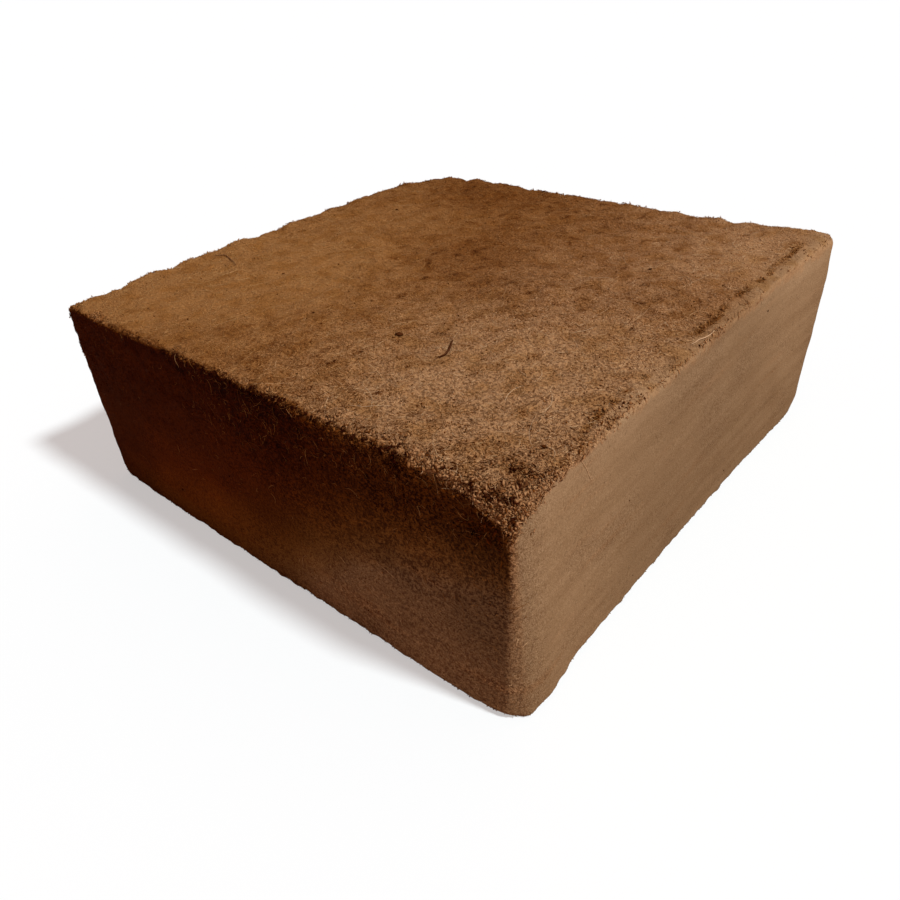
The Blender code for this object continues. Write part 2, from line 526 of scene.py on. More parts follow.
class NodeTree:
    """A short way to add and join shader nodes."""

    def __init__(self, tree: bpy.types.NodeTree) -> None:
        """Takes the tree that the nodes go into."""
        self.tree = tree

    def add(
        self, kind: str, inputs: dict[str | int, object] | None = None, **settings: object
    ) -> bpy.types.Node:
        """Adds a node.

        Args:
            kind: The node's type.
            inputs: Values or sockets for its inputs, by name or number.
            settings: Values of its own properties.

        Returns:
            The node.
        """
        node = self.tree.nodes.new(kind)
        for name, value in settings.items():
            setattr(node, name, value)
        for name, value in (inputs or {}).items():
            if isinstance(value, bpy.types.NodeSocket):
                self.tree.links.new(value, node.inputs[name])
            else:
                node.inputs[name].default_value = value
        return node

    def value(self, name: str) -> bpy.types.NodeSocket:
        """A value that the mesh holds for each of its vertices."""
        return self.add("ShaderNodeAttribute", attribute_name=name).outputs["Fac"]

    def math(self, operation: str, *values: object) -> bpy.types.NodeSocket:
        """The result of a Math node."""
        node = self.add("ShaderNodeMath", dict(enumerate(values)), operation=operation)
        return node.outputs[0]

    def mix(self, share: object, first: object, second: object) -> bpy.types.NodeSocket:
        """The first value where the share is 0 and the second where it is 1."""
        return self.add("ShaderNodeMix", {0: share, 2: first, 3: second}).outputs[0]

    def mix_colour(self, share: object, first: object, second: object) -> bpy.types.NodeSocket:
        """The first colour where the share is 0 and the second where it is 1."""
        node = self.add("ShaderNodeMix", {0: share, 6: first, 7: second}, data_type="RGBA")
        return node.outputs[2]

    def ramp(self, value: object, stops: tuple[tuple[float, tuple], ...]) -> bpy.types.NodeSocket:
        """A colour read from a row of stops.

        Args:
            value: The socket that is read.
            stops: Each stop's place and its colour, in order.

        Returns:
            The colour's socket.
        """
        node = self.add("ShaderNodeValToRGB", {0: value})
        elements = node.color_ramp.elements
        while len(elements) < len(stops):
            elements.new(0.5)
        for element, (place, colour) in zip(elements, stops):
            element.position = place
            element.color = (*colour, 1.0)
        return node.outputs[0]

    def rise(self, value: object, start: float, end: float) -> bpy.types.NodeSocket:
        """0 up to the start and 1 from the end on, with a smooth rise between."""
        node = self.add(
            "ShaderNodeMapRange",
            {0: value, 1: start, 2: end},
            interpolation_type="SMOOTHSTEP",
        )
        return node.outputs[0]


class Effect(Enum):
    """The shader node groups that several finishes use."""

    PAINTED_SHADE_AND_WARMTH = "coir_painted_shade_and_warmth"


def build_painted_shade_and_warmth() -> None:
    """Builds the group that tints a colour darker and redder, for painted shade and for warmer pith, and
    scales it by painted light and shade.
    """
    group = bpy.data.node_groups.new(Effect.PAINTED_SHADE_AND_WARMTH.value, "ShaderNodeTree")
    sockets = (("Colour", "Color"), ("Painted_shade_and_warmth", "Float"), ("Light", "Float"))
    for name, kind in sockets:
        group.interface.new_socket(name, in_out="INPUT", socket_type=f"NodeSocket{kind}")
    group.interface.new_socket("Colour", in_out="OUTPUT", socket_type="NodeSocketColor")
    nodes = NodeTree(group)
    given, result = nodes.add("NodeGroupInput"), nodes.add("NodeGroupOutput")
    tint = nodes.add("ShaderNodeGamma", {0: (*DEEPEST_PAINTED_SHADE, 1.0), 1: given.outputs["Painted_shade_and_warmth"]})
    darker = nodes.add(
        "ShaderNodeMix",
        {0: 1.0, 6: given.outputs["Colour"], 7: tint.outputs[0]},
        data_type="RGBA",
        blend_type="MULTIPLY",
    )
    lit = nodes.add(
        "ShaderNodeVectorMath",
        {0: darker.outputs[2], "Scale": given.outputs["Light"]},
        operation="SCALE",
    )
    group.links.new(lit.outputs[0], result.inputs["Colour"])


def with_painted_shade_and_warmth(
    nodes: NodeTree, colour: bpy.types.NodeSocket, light: bpy.types.NodeSocket | None = None
) -> bpy.types.NodeSocket:
    """Paints shade and warmth into a material's colour, by the share of it that the mesh holds.

    Args:
        nodes: The material's nodes.
        colour: The colour without it.
        light: A factor of painted light and shade, where 1 leaves the colour as it is.

    Returns:
        The colour's socket.
    """
    painted_shade_and_warmth = nodes.value("painted_shade_and_warmth")
    group = nodes.add("ShaderNodeGroup", node_tree=bpy.data.node_groups[Effect.PAINTED_SHADE_AND_WARMTH.value])
    nodes.tree.links.new(colour, group.inputs["Colour"])
    nodes.tree.links.new(painted_shade_and_warmth, group.inputs["Painted_shade_and_warmth"])
    group.inputs["Light"].default_value = 1.0
    if light is not None:
        nodes.tree.links.new(light, group.inputs["Light"])
    return group.outputs["Colour"]


def new_material(name: str, **values: float) -> tuple[bpy.types.Material, NodeTree, bpy.types.Node]:
    """Starts a material.

    Args:
        name: The material's name.
        values: Plain values of its shader, by input name, with _ for each space.

    Returns:
        The material, its nodes and its shader.
    """
    material = bpy.data.materials.new(name)
    material.use_nodes = True
    shader = material.node_tree.nodes["Principled BSDF"]
    for key, value in values.items():
        shader.inputs[key.replace("_", " ")].default_value = value
    return material, NodeTree(material.node_tree), shader


Colour = tuple[float, float, float]


@dataclass(frozen=True)
class BlockFinish:
    """The block's own pith: rough felt on top, smooth and streaked where the press held it."""

    felt_dark: Colour = (0.056, 0.013, 0.002)
    felt_mid: Colour = (0.262, 0.117, 0.040)
    felt_light: Colour = (0.445, 0.256, 0.120)
    pressed_dark: Colour = (0.121, 0.070, 0.033)
    pressed_mid: Colour = (0.191, 0.124, 0.064)
    pressed_light: Colour = (0.264, 0.182, 0.103)
    # Painted shade in the pits between crumbs
    pit_painted_shade: Colour = (0.042, 0.009, 0.002)
    felt_stops: tuple[float, float, float] = (0.10, 0.45, 0.90)
    pressed_stops: tuple[float, float, float] = (0.15, 0.50, 0.85)
    felt_tone: float = 0.45
    drift_on_walls: float = 0.6
    felt_bump: float = 0.55 * MM
    pressed_bump: float = 0.08 * MM
    grainy_bump: float = 0.18 * MM
    tuft: float = 3.0 * MM
    tuft_turn: float = 6.3
    second_strands: tuple[float, float, float] = (0.13, 0.29, 0.17)
    strand_length: float = 4.0 * MM
    strand_width: float = 0.42 * MM
    strand_edges: tuple[float, float] = (0.30, 0.72)
    upper_and_all_strands: tuple[float, float] = (0.6, 0.18)
    strand_contrast: tuple[float, float] = (0.95, -0.47)
    grain: float = 1.05 * MM
    grain_contrast: tuple[float, float] = (0.26, -0.09)
    gap_edges: tuple[float, float] = (0.50, 0.85)
    # Painted shade in the gaps between grains
    gap_painted_shade: float = -0.26
    gap_depth: float = 0.4
    pit_size: float = 1.5 * MM
    pit_edges: tuple[float, float] = (0.52, 0.40)
    pits_where_loose: tuple[float, float] = (0.5, 0.5)
    pits_in_felt: float = 0.34
    pits_in_grain: tuple[float, float] = (0.42, 0.02)
    pit_depth: float = 1.2
    streak_scale: tuple[float, float, float] = (14.0, 14.0, 150.0)
    streak_contrast: tuple[float, float] = (0.50, -0.25)
    speckle_scale: float = 1900.0
    speckle_contrast: tuple[float, float] = (3.3, 1.2)
    pressed_tone: float = 0.5

    def build(self) -> bpy.types.Material:
        """Builds the material.

        Returns:
            The material.
        """
        material, nodes, shader = new_material("block_pith", Roughness=0.92, Specular_IOR_Level=0.02)
        place = nodes.add("ShaderNodeTexCoord").outputs["Object"]
        felt, crumbly, drift, loose, grainy = (
            nodes.value(name) for name in ("felt", "crumbly", "drift", "loose", "grainy")
        )
        strands = self.strands(nodes, place)
        grains, gaps = self.grains(nodes, place)
        pits = self.pits(nodes, place)
        matted = nodes.math("ADD", nodes.math("MULTIPLY_ADD", strands, *self.strand_contrast), grains)
        apart = nodes.math("MULTIPLY", matted, loose)
        felt_colour = nodes.ramp(
            nodes.math("ADD", nodes.math("ADD", apart, self.felt_tone), drift),
            tuple(zip(self.felt_stops, (self.felt_dark, self.felt_mid, self.felt_light))),
        )
        layers = self.layers(nodes, place, grainy)
        pressed_colour = nodes.ramp(
            nodes.math("MULTIPLY_ADD", drift, self.drift_on_walls, layers),
            tuple(zip(self.pressed_stops, (self.pressed_dark, self.pressed_mid, self.pressed_light))),
        )
        colour = nodes.mix_colour(felt, pressed_colour, felt_colour)
        loosened = nodes.math("MULTIPLY_ADD", pits, *self.pits_where_loose)
        among_felt = nodes.math("MULTIPLY", nodes.math("MULTIPLY", felt, loose), self.pits_in_felt)
        in_grain = nodes.math("MULTIPLY_ADD", grainy, *self.pits_in_grain)
        scattered = nodes.math("ADD", in_grain, among_felt)
        pit_share = nodes.math(
            "MAXIMUM",
            nodes.math("MULTIPLY", crumbly, loosened),
            nodes.math("MULTIPLY", scattered, pits),
        )
        # Painted shade in the pits between crumbs
        colour = nodes.mix_colour(pit_share, colour, (*self.pit_painted_shade, 1.0))
        pit_depth = nodes.math("MULTIPLY", pit_share, self.pit_depth)
        sunk = nodes.math("MULTIPLY_ADD", gaps, self.gap_depth, pit_depth)
        felt_height = nodes.math("SUBTRACT", strands, sunk)
        pressed_bump = nodes.math("MULTIPLY_ADD", grainy, self.grainy_bump, self.pressed_bump)
        height = nodes.mix(
            felt,
            nodes.math("MULTIPLY", layers, pressed_bump),
            nodes.math("MULTIPLY", felt_height, self.felt_bump),
        )
        bump = nodes.add("ShaderNodeBump", {"Height": height, "Distance": 1.0})
        # Painted shade and warmth, and the walls' painted light and shade held as the mesh's light
        shaded = with_painted_shade_and_warmth(nodes, colour, nodes.value("light"))
        nodes.tree.links.new(shaded, shader.inputs["Base Color"])
        nodes.tree.links.new(bump.outputs[0], shader.inputs["Normal"])
        return material

    def strands(self, nodes: NodeTree, place: bpy.types.NodeSocket) -> bpy.types.NodeSocket:
        """The tone of matted pith: small tufts of short strands, each tuft lying its own way.

        Args:
            nodes: The material's nodes.
            place: The place on the block.

        Returns:
            The tone's socket.
        """
        layers = []
        across, along = 1.0 / self.strand_width, 1.0 / self.strand_length
        for shift in ((0.0, 0.0, 0.0), self.second_strands):
            moved = nodes.add("ShaderNodeVectorMath", {0: place, 1: shift}).outputs[0]
            tufts = nodes.add("ShaderNodeTexVoronoi", {"Vector": moved, "Scale": 1.0 / self.tuft})
            turn = nodes.add(
                "ShaderNodeVectorMath",
                {0: tufts.outputs["Color"], 1: (self.tuft_turn,) * 3},
                operation="MULTIPLY",
            )
            turned = nodes.add(
                "ShaderNodeVectorRotate",
                {"Vector": moved, "Rotation": turn.outputs[0]},
                rotation_type="EULER_XYZ",
            )
            drawn = nodes.add(
                "ShaderNodeMapping", {"Vector": turned.outputs[0], "Scale": (across, across, along)}
            )
            strand = nodes.add(
                "ShaderNodeTexNoise", {"Vector": drawn.outputs[0], "Scale": 1.0, "Detail": 2.0}
            )
            layers.append(nodes.rise(strand.outputs[0], *self.strand_edges))
        upper = nodes.math("MAXIMUM", layers[0], layers[1])
        both = nodes.math("ADD", layers[0], layers[1])
        upper_share, share_of_both = self.upper_and_all_strands
        rest = nodes.math("MULTIPLY", both, share_of_both)
        return nodes.math("MULTIPLY_ADD", upper, upper_share, rest)

    def grains(
        self, nodes: NodeTree, place: bpy.types.NodeSocket
    ) -> tuple[bpy.types.NodeSocket, bpy.types.NodeSocket]:
        """The tone of grains of pith among the strands, with painted shade in the gaps between them, and
        where the gaps are.

        Args:
            nodes: The material's nodes.
            place: The place on the block.

        Returns:
            The sockets of the tone, about 0, and of the gaps.
        """
        cells = nodes.add("ShaderNodeTexVoronoi", {"Vector": place, "Scale": 1.0 / self.grain})
        own = nodes.add("ShaderNodeSeparateColor", {0: cells.outputs["Color"]}).outputs[0]
        gaps = nodes.rise(cells.outputs["Distance"], *self.gap_edges)
        tone = nodes.math("MULTIPLY_ADD", own, *self.grain_contrast)
        return nodes.math("MULTIPLY_ADD", gaps, self.gap_painted_shade, tone), gaps

    def pits(self, nodes: NodeTree, place: bpy.types.NodeSocket) -> bpy.types.NodeSocket:
        """Where the small gaps between crumbs are; the finish sinks them and paints shade in them.

        Args:
            nodes: The material's nodes.
            place: The place on the block.

        Returns:
            The mask's socket.
        """
        gaps = nodes.add(
            "ShaderNodeTexNoise",
            {"Vector": place, "Scale": 1.0 / self.pit_size, "Detail": 2.0, "Roughness": 0.6},
        )
        return nodes.rise(gaps.outputs[0], *self.pit_edges)

    def layers(
        self, nodes: NodeTree, place: bpy.types.NodeSocket, grainy: bpy.types.NodeSocket
    ) -> bpy.types.NodeSocket:
        """The tone of the pressed sides: level streaks of the layers, and fine speckle.

        Args:
            nodes: The material's nodes.
            place: The place on the block.
            grainy: How coarse the speckle is there.

        Returns:
            The tone's socket.
        """
        flat = nodes.add("ShaderNodeMapping", {"Vector": place, "Scale": self.streak_scale})
        streaks = nodes.add(
            "ShaderNodeTexNoise",
            {"Vector": flat.outputs[0], "Scale": 1.0, "Detail": 4.0, "Roughness": 0.6},
        )
        speckle = nodes.add(
            "ShaderNodeTexNoise",
            {"Vector": place, "Scale": self.speckle_scale, "Detail": 2.0, "Roughness": 0.7},
        )
        streak = nodes.math("MULTIPLY_ADD", streaks.outputs[0], *self.streak_contrast)
        strength = nodes.math("MULTIPLY_ADD", grainy, *self.speckle_contrast)
        about_0 = nodes.math("SUBTRACT", speckle.outputs[0], 0.5)
        grain = nodes.math("MULTIPLY", about_0, strength)
        return nodes.math("ADD", nodes.math("ADD", streak, grain), self.pressed_tone)


@dataclass(frozen=True)
class GrainFinish:
    """A finish for many small pieces, each with a tone of its own."""

    name: str
    dark: Colour
    mid: Colour
    light: Colour
    sheen: float = 0.02

    def build(self) -> bpy.types.Material:
        """Builds the material.

        Returns:
            The material.
        """
        material, nodes, shader = new_material(
            self.name, Roughness=0.9, Specular_IOR_Level=self.sheen
        )
        stops = ((0.0, self.dark), (0.5, self.mid), (1.0, self.light))
        # Painted shade and warmth, by what the piece's mesh holds
        colour = with_painted_shade_and_warmth(nodes, nodes.ramp(nodes.value("tone"), stops))
        nodes.tree.links.new(colour, shader.inputs["Base Color"])
        return material


@dataclass
class PressedBlock:
    """The body of the bale, one closed skin with a flat base."""

    form: BlockForm
    step: float = 1.66 * MM
    edge_rows: tuple[float, ...] = (0.7 * MM, 1.5 * MM, 2.4 * MM, 3.6 * MM)
    base_rings: int = 4
    facing_top: Ramp = Ramp(0.15, 0.75)
    facing_side: Ramp = Ramp(0.3, 0.9)
    off_base: Ramp = Ramp(-0.9, -0.5)

    # Felt: how much each side has, and how it hangs over the top edges
    front_felt: Ramp = span(39.2, 112.0, 0.65, 0.25)
    front_felt_bumps: Bumps = Bumps(12.0 * MM, 40.0, 15)
    back_felt: float = 0.40
    left_felt: float = 0.15
    right_felt: float = 0.03
    rough_layers: Patches = Patches(Bumps(1.0, (50.0, 50.0, 5.0), 16), Ramp(0.25, 0.55, 0.22))
    overhang: float = 3.0 * MM
    overhang_bumps: tuple[Bumps, ...] = (Bumps(1.4, 13.0, 5), Bumps(1.0, 3.0, 6))
    overhang_edge: Ramp = span(-2.5, 0.5, 0.85)
    bare_lip: Ramp = span(139.0, 152.0, 0.60)
    bare_lip_along: Ramp = span(-105.0, -65.0)

    # Painted shade, dark and red, on the shaded front under its top edge and at its foot, a little at the
    # foot all round, and a warmer tint on the far half of the top
    gloom_slope: float = 0.196
    gloom_level_at: float = 100.0 * MM
    gloom_bumps: Bumps = Bumps(4.0 * MM, 24.0, 20)
    gloom_up: Ramp = span(14.0, 108.0, 1.0, 0.24)
    gloom_along: Ramp = span(-20.0, 110.0, -0.66)
    brow_bumps: Bumps = Bumps(2.5 * MM, 7.0, 33)
    brow_up: Ramp = span(100.0, 110.0, -0.70)
    brow_along: Ramp = span(10.0, 80.0)
    low_gloom: Band = Band((span(0.0, -50.0, 0.08),), (span(80.0, 50.0),))
    foot_gloom: Ramp = span(5.0, 0.5, 0.20)
    foot_gloom_all_round: float = 0.05
    warm_along: Ramp = span(80.0, -60.0, 0.16)
    warm_patches: Patches = Patches(Bumps(1.0, 9.0, 34), Ramp(-0.10, 0.50, 0.08))
    warm_facing: Ramp = Ramp(0.2, 0.7)
    shaded_along: Ramp = span(148.8, 147.0)
    shaded_facing: Ramp = Ramp(-0.93, -0.985)

    # The ragged front edge of the top, with painted shade along it
    fringe_set_back: Ramp = span(95.0, 125.0, 5.0 * MM)
    fringe_bumps: tuple[Bumps, ...] = (Bumps(1.6 * MM, 12.0, 28), Bumps(0.9 * MM, 4.0, 29))
    fringe_reach: Ramp = span(3.2, 0.2)
    fringe_up: Ramp = span(95.2, 112.0)
    fringe_painted_shade: float = -0.36
    fringe_gloom: float = 0.24

    # Painted light and shade: how much darker the front is, band by band, with a painted lighter middle,
    # and the right wall down it and at its two ends
    front_bands: tuple[Band, ...] = (
        Band((span(40.0, 100.0, 0.13),), (span(16.8, 50.4), span(80.64, 103.04, -0.8, 1.0))),
        Band((span(105.0, 135.0, 0.30),), (span(16.8, 50.4), span(80.64, 103.04, -0.8, 1.0))),
        Band((span(50.0, 95.0, 0.32),), (span(69.44, 91.84),)),
        Band((span(110.0, 140.0, 0.16),), (span(69.44, 91.84),)),
        Band(
            (span(-85.0, -120.0, -0.48, 1.0), span(40.0, -60.0)),
            (span(69.44, 87.36, 0.22, -0.36), span(17.92, 0.0, -0.6, 1.0)),
        ),
        Band(
            (span(-85.0, -120.0, -0.48, 1.0), span(40.0, -60.0)),
            (span(0.0, 28.0, -0.42), span(67.2, 47.04), span(17.92, 0.0, -0.6, 1.0)),
        ),
        Band((span(138.0, 112.0),), (span(44.8, 0.0, -0.14),)),
    )
    front_middle_height: float = 66.0 * MM
    front_middle_reach: tuple[float, float] = (40.0 * MM, 16.0 * MM)
    front_middle_light: float = 0.42
    right_ends: Ramp = span(30.0, 120.0)
    right_level_at: float = 0.55
    right_down: tuple[float, float, float] = (0.13, -0.09, 0.07)
    right_darker: tuple[float, float, float] = (0.04, -0.13, -0.10)
    right_facing: Ramp = Ramp(0.5, 0.9)
    darkness_as_gloom: float = 0.45

    # Where the coir has come apart: the front, right, back and left top edges, and the corners
    top_edges: tuple[CrumbledEdge, ...] = (
        CrumbledEdge(1.2, span(-30.0, 150.0, 0.45, 0.55), span(-30.0, 150.0, 9.0, 3.6)),
        CrumbledEdge(1.6, span(-135.0, 105.0, -0.18, 0.20), span(-135.0, 105.0, -1.5, 4.5)),
        CrumbledEdge(1.0, steady(0.15), steady(2.5)),
        CrumbledEdge(1.0, steady(0.15), steady(2.5)),
    )
    crumbled_corners: tuple[tuple[int, int, float, float], ...] = (
        (1, -1, 1.0, 27.0),
        (-1, 1, 0.15, 20.0),
        (-1, -1, 0.15, 12.0),
    )
    corner_squash: tuple[float, float, float] = (1.0, 1.0, 1.25)
    corner_on_right: Ramp = Ramp(0.5, 0.90, 15.0 * MM)
    crumbly_front: Ramp = Ramp(-0.85, -0.98, -0.75, 1.0)
    raggedness: tuple[Bumps, ...] = (Bumps(1.1, 13.0, 7), Bumps(0.7, 4.5, 8))
    least_ragged: float = 0.15
    looseness: Ramp = span(15.0, 240.0, -1.15, 1.60)

    # The grain of the walls
    front_grain: float = 0.75
    front_grain_bumps: Bumps = Bumps(0.5, 22.0, 24)
    edge_grain: Ramp = span(-122.0, -150.0, 0.5)
    right_grain: Patches = Patches(Bumps(1.0, 30.0, 25), Ramp(0.0, 0.5, 0.22, 0.08))

    # The crevice between the felt and the right wall, sunk, with painted shade in it
    crevice_at: float = 142.0 * MM
    crevice_bumps: tuple[Bumps, ...] = (Bumps(1.4 * MM, 26.0, 9), Bumps(0.5 * MM, 6.0, 26))
    crevice_width: float = 0.85 * MM
    crevice_depth: float = 1.8 * MM
    crevice_openness: float = 0.34
    crevice_breaks: tuple[Bumps, ...] = (Bumps(0.7, 30.0, 10), Bumps(0.7, 6.0, 27))
    crevice_most: Ramp = span(30.0, 120.0, -0.25, 0.60)
    crevice_ends: tuple[Ramp, Ramp] = (span(-105.0, -85.0), span(135.0, 120.0))
    crevice_painted_shade: float = 0.8
    crevice_crumbly: float = 0.6

    # Relief finer than the solid holds, in millimetres, and the bumps along the foot
    felt_bumps: tuple[Bumps, ...] = (Bumps(0.50, 8.0, 11), Bumps(0.44, 3.9, 12))
    felt_lumps: tuple[float, float] = (0.14, 4.4 * MM)
    wall_bumps: tuple[Bumps, ...] = (Bumps(0.05, (60.0, 60.0, 3.4), 13), Bumps(0.03, 4.0, 14))
    broken_bumps: Bumps = Bumps(1.1, 3.6, 17)
    broken_lumps: tuple[float, float] = (0.60, 4.6 * MM)
    broken_sunk: float = 0.25
    foot_band: Ramp = span(3.5, 0.4)
    foot_bumps: tuple[Bumps, ...] = (Bumps(0.9 * MM, 5.5, 35), Bumps(0.5 * MM, 3.5, 36))
    wall_rim: Ramp = span(145.0, 149.5)

    # Tones: tufts in the felt, painted shade standing for hollows in it, slow drifts, and broad patches of
    # the top
    tuft_tones: tuple[Bumps, ...] = (Bumps(0.20, 7.0, 21), Bumps(0.19, 3.6, 22))
    painted_hollow_shade: Patches = Patches(Bumps(-1.0, 5.5, 23), Ramp(0.20, 0.60, -0.26))
    drifts: tuple[Bumps, ...] = (Bumps(0.08, 40.0, 18), Bumps(0.08, 17.0, 19))
    broad_tones_up: Ramp = span(89.6, 112.0)
    darker_down: Ramp = span(112.0, 0.0, -0.16, 0.08)
    broad_tones: tuple[tuple[float, float, float, float], ...] = (
        (-0.130, -0.085, 0.64, 0.080),
        (-0.120, 0.050, 0.18, 0.050),
        (-0.060, 0.125, -0.10, 0.045),
        (-0.050, 0.060, 0.14, 0.040),
        (-0.010, 0.015, -0.16, 0.045),
        (-0.065, -0.035, 0.28, 0.055),
        (0.090, -0.100, 0.40, 0.055),
        (0.135, -0.060, 0.24, 0.050),
        (0.060, 0.080, -0.06, 0.040),
        (0.135, 0.115, 0.26, 0.065),
    )

    def rows(self, low: float, high: float) -> np.ndarray:
        """Places of the mesh rows from one edge to the other, narrow beside each edge."""
        inner_low, inner_high = low + self.edge_rows[-1], high - self.edge_rows[-1]
        even = np.linspace(inner_low, inner_high, round((inner_high - inner_low) / self.step) + 1)
        near = low + np.array(self.edge_rows[:-1])
        return np.concatenate(((low,), near, even, (low + high) - near[::-1], (high,)))

    def skin(self) -> tuple[np.ndarray, np.ndarray, np.ndarray, np.ndarray]:
        """Lays out the sharp block's faces as squares, with a fan in the middle of the base.

        Returns:
            The vertices, the squares, the base's triangles, and the axis and end of each square.
        """
        rows = [
            self.rows(-self.form.half, self.form.half),
            self.rows(-self.form.half, self.form.half),
            self.rows(0.0, self.form.height),
        ]
        counts = np.array([len(row) for row in rows])
        corners, sides = [], []
        for axis in range(3):
            across, along = (axis + 1) % 3, (axis + 2) % 3
            i, j = np.meshgrid(
                np.arange(counts[across] - 1), np.arange(counts[along] - 1), indexing="ij"
            )
            i, j = i.ravel(), j.ravel()
            for end in (0, 1):
                keep = np.ones(len(i), bool)
                if axis == 2 and end == 0:
                    rim = np.minimum(
                        np.minimum(i, counts[across] - 2 - i), np.minimum(j, counts[along] - 2 - j)
                    )
                    keep = rim < self.base_rings
                square = np.zeros((keep.sum(), 4, 3), int)
                square[:, :, axis] = end * (counts[axis] - 1)
                steps = ((0, 0), (1, 0), (1, 1), (0, 1))
                for corner, (di, dj) in enumerate(steps):
                    square[:, corner, across] = i[keep] + di
                    square[:, corner, along] = j[keep] + dj
                corners.append(square if end else square[:, ::-1])
                sides.append(np.tile((axis, end), (len(square), 1)))
        lattice = np.concatenate(corners)
        nodes, index = np.unique(lattice.reshape(-1, 3), axis=0, return_inverse=True)
        squares = index.reshape(-1, 4)
        points = np.stack([rows[axis][nodes[:, axis]] for axis in range(3)], axis=1)
        ring = self.base_ring(nodes, counts)
        middle = len(points)
        points = np.concatenate((points, ((0.0, 0.0, 0.0),)))
        fan = np.stack((np.full(len(ring), middle), np.roll(ring, -1), ring), axis=1)
        return points, squares, fan, np.concatenate(sides)

    def base_ring(self, nodes: np.ndarray, counts: np.ndarray) -> np.ndarray:
        """The base's inner ring of vertices, in order round it.

        Args:
            nodes: Each vertex's row on each axis.
            counts: The number of rows on each axis.

        Returns:
            The vertices' numbers.
        """
        low = self.base_rings
        high_x, high_y = counts[0] - 1 - low, counts[1] - 1 - low
        walk = [(i, low) for i in range(low, high_x)]
        walk += [(high_x, j) for j in range(low, high_y)]
        walk += [(i, high_y) for i in range(high_x, low, -1)]
        walk += [(low, j) for j in range(high_y, low, -1)]
        known = {tuple(node): number for number, node in enumerate(nodes.tolist())}
        return np.array([known[(i, j, 0)] for i, j in walk])

    def felt_share(self, points: np.ndarray, outward: np.ndarray) -> np.ndarray:
        """How much felt covers each place: all of the top, and some of each side.

        Args:
            points: Places on the sharp block.
            outward: The way the surface faces at each place.

        Returns:
            A share from 0 to 1 for each place.
        """
        x, y, z = outward.T
        height = points[:, 2]
        front = self.front_felt.at(height + self.front_felt_bumps.at(points))
        sides = ((-y, front), (y, self.back_felt), (-x, self.left_felt), (x, self.right_felt))
        share = self.facing_top.at(z)
        for facing, felt in sides:
            share = share + felt * self.facing_side.at(facing)
        share = share + self.rough_layers.at(points)
        ragged = self.overhang * (1.0 + bumpy(self.overhang_bumps, points))
        wrap = self.overhang_edge.at(ragged - (self.form.height - height))
        lip = self.bare_lip.at(points[:, 0] + ragged) * self.bare_lip_along.at(points[:, 1])
        covered = np.clip(np.maximum(share, wrap), 0.0, 1.0) * self.off_base.at(z)
        return covered * (1.0 - lip)

    def painted_shade_and_warmth_share(self, points: np.ndarray, outward: np.ndarray) -> np.ndarray:
        """Painted shade, dark and red: most of all on the shaded front, under the top edge; and a warmer
        tint on the far half of the top.

        Args:
            points: Places on the sharp block.
            outward: The way the surface faces at each place.

        Returns:
            A share from 0 to 1 for each place.
        """
        x, _, z = points.T
        level = z + self.gloom_slope * (self.gloom_level_at - x) + self.gloom_bumps.at(points)
        shade = self.gloom_up.at(level) + self.gloom_along.at(x)
        brow = self.brow_up.at(z + self.brow_bumps.at(points)) * self.brow_along.at(x)
        shade = shade * (1.0 + brow) + self.low_gloom.at(x, z)
        foot = self.foot_gloom.at(z)
        front = np.clip(shade + foot, 0.0, 1.0) * self.shaded(points, outward)
        warm = self.warm_along.at(x) + self.warm_patches.at(points)
        warm = warm * self.warm_facing.at(outward[:, 2])
        return np.maximum(front, warm + self.foot_gloom_all_round * foot)

    def shaded(self, points: np.ndarray, outward: np.ndarray) -> np.ndarray:
        """Where the pith is on the shaded front, short of the worn upright edge, from 0 to 1."""
        return self.shaded_along.at(points[:, 0]) * self.shaded_facing.at(outward[:, 1])

    def fringe(self, points: np.ndarray) -> np.ndarray:
        """How near each place is to the ragged front edge of the top, from 0 to 1."""
        x, y, z = points.T
        edge = self.fringe_set_back.at(x) + self.form.half + y + bumpy(self.fringe_bumps, points)
        return self.fringe_reach.at(edge) * self.fringe_up.at(z)

    def painted_light_and_shade(self, points: np.ndarray, outward: np.ndarray) -> np.ndarray:
        """Painted light and shade on the walls: painted shade on the front beside the nearest edge, a
        painted lighter middle, and painted light and shade down the right wall and at its ends.

        Args:
            points: Places on the sharp block.
            outward: The way the surface faces at each place.

        Returns:
            A factor on the colour for each place, 1 where no light or shade is painted.
        """
        x, y, z = points.T
        darker = sum(band.at(x, z) for band in self.front_bands)
        reach_along, reach_up = self.front_middle_reach
        middle = (x / reach_along) ** 2 + ((z - self.front_middle_height) / reach_up) ** 2
        darker = darker - self.front_middle_light * np.exp(-middle)
        ends = np.stack((np.ones(len(y)), self.right_ends.at(-y), self.right_ends.at(y)))
        above = self.right_level_at - z / self.form.height
        down = above * (self.right_down @ ends) + self.right_darker @ ends
        front = darker * self.shaded(points, outward)
        return np.exp(-front - down * self.right_facing.at(outward[:, 0]))

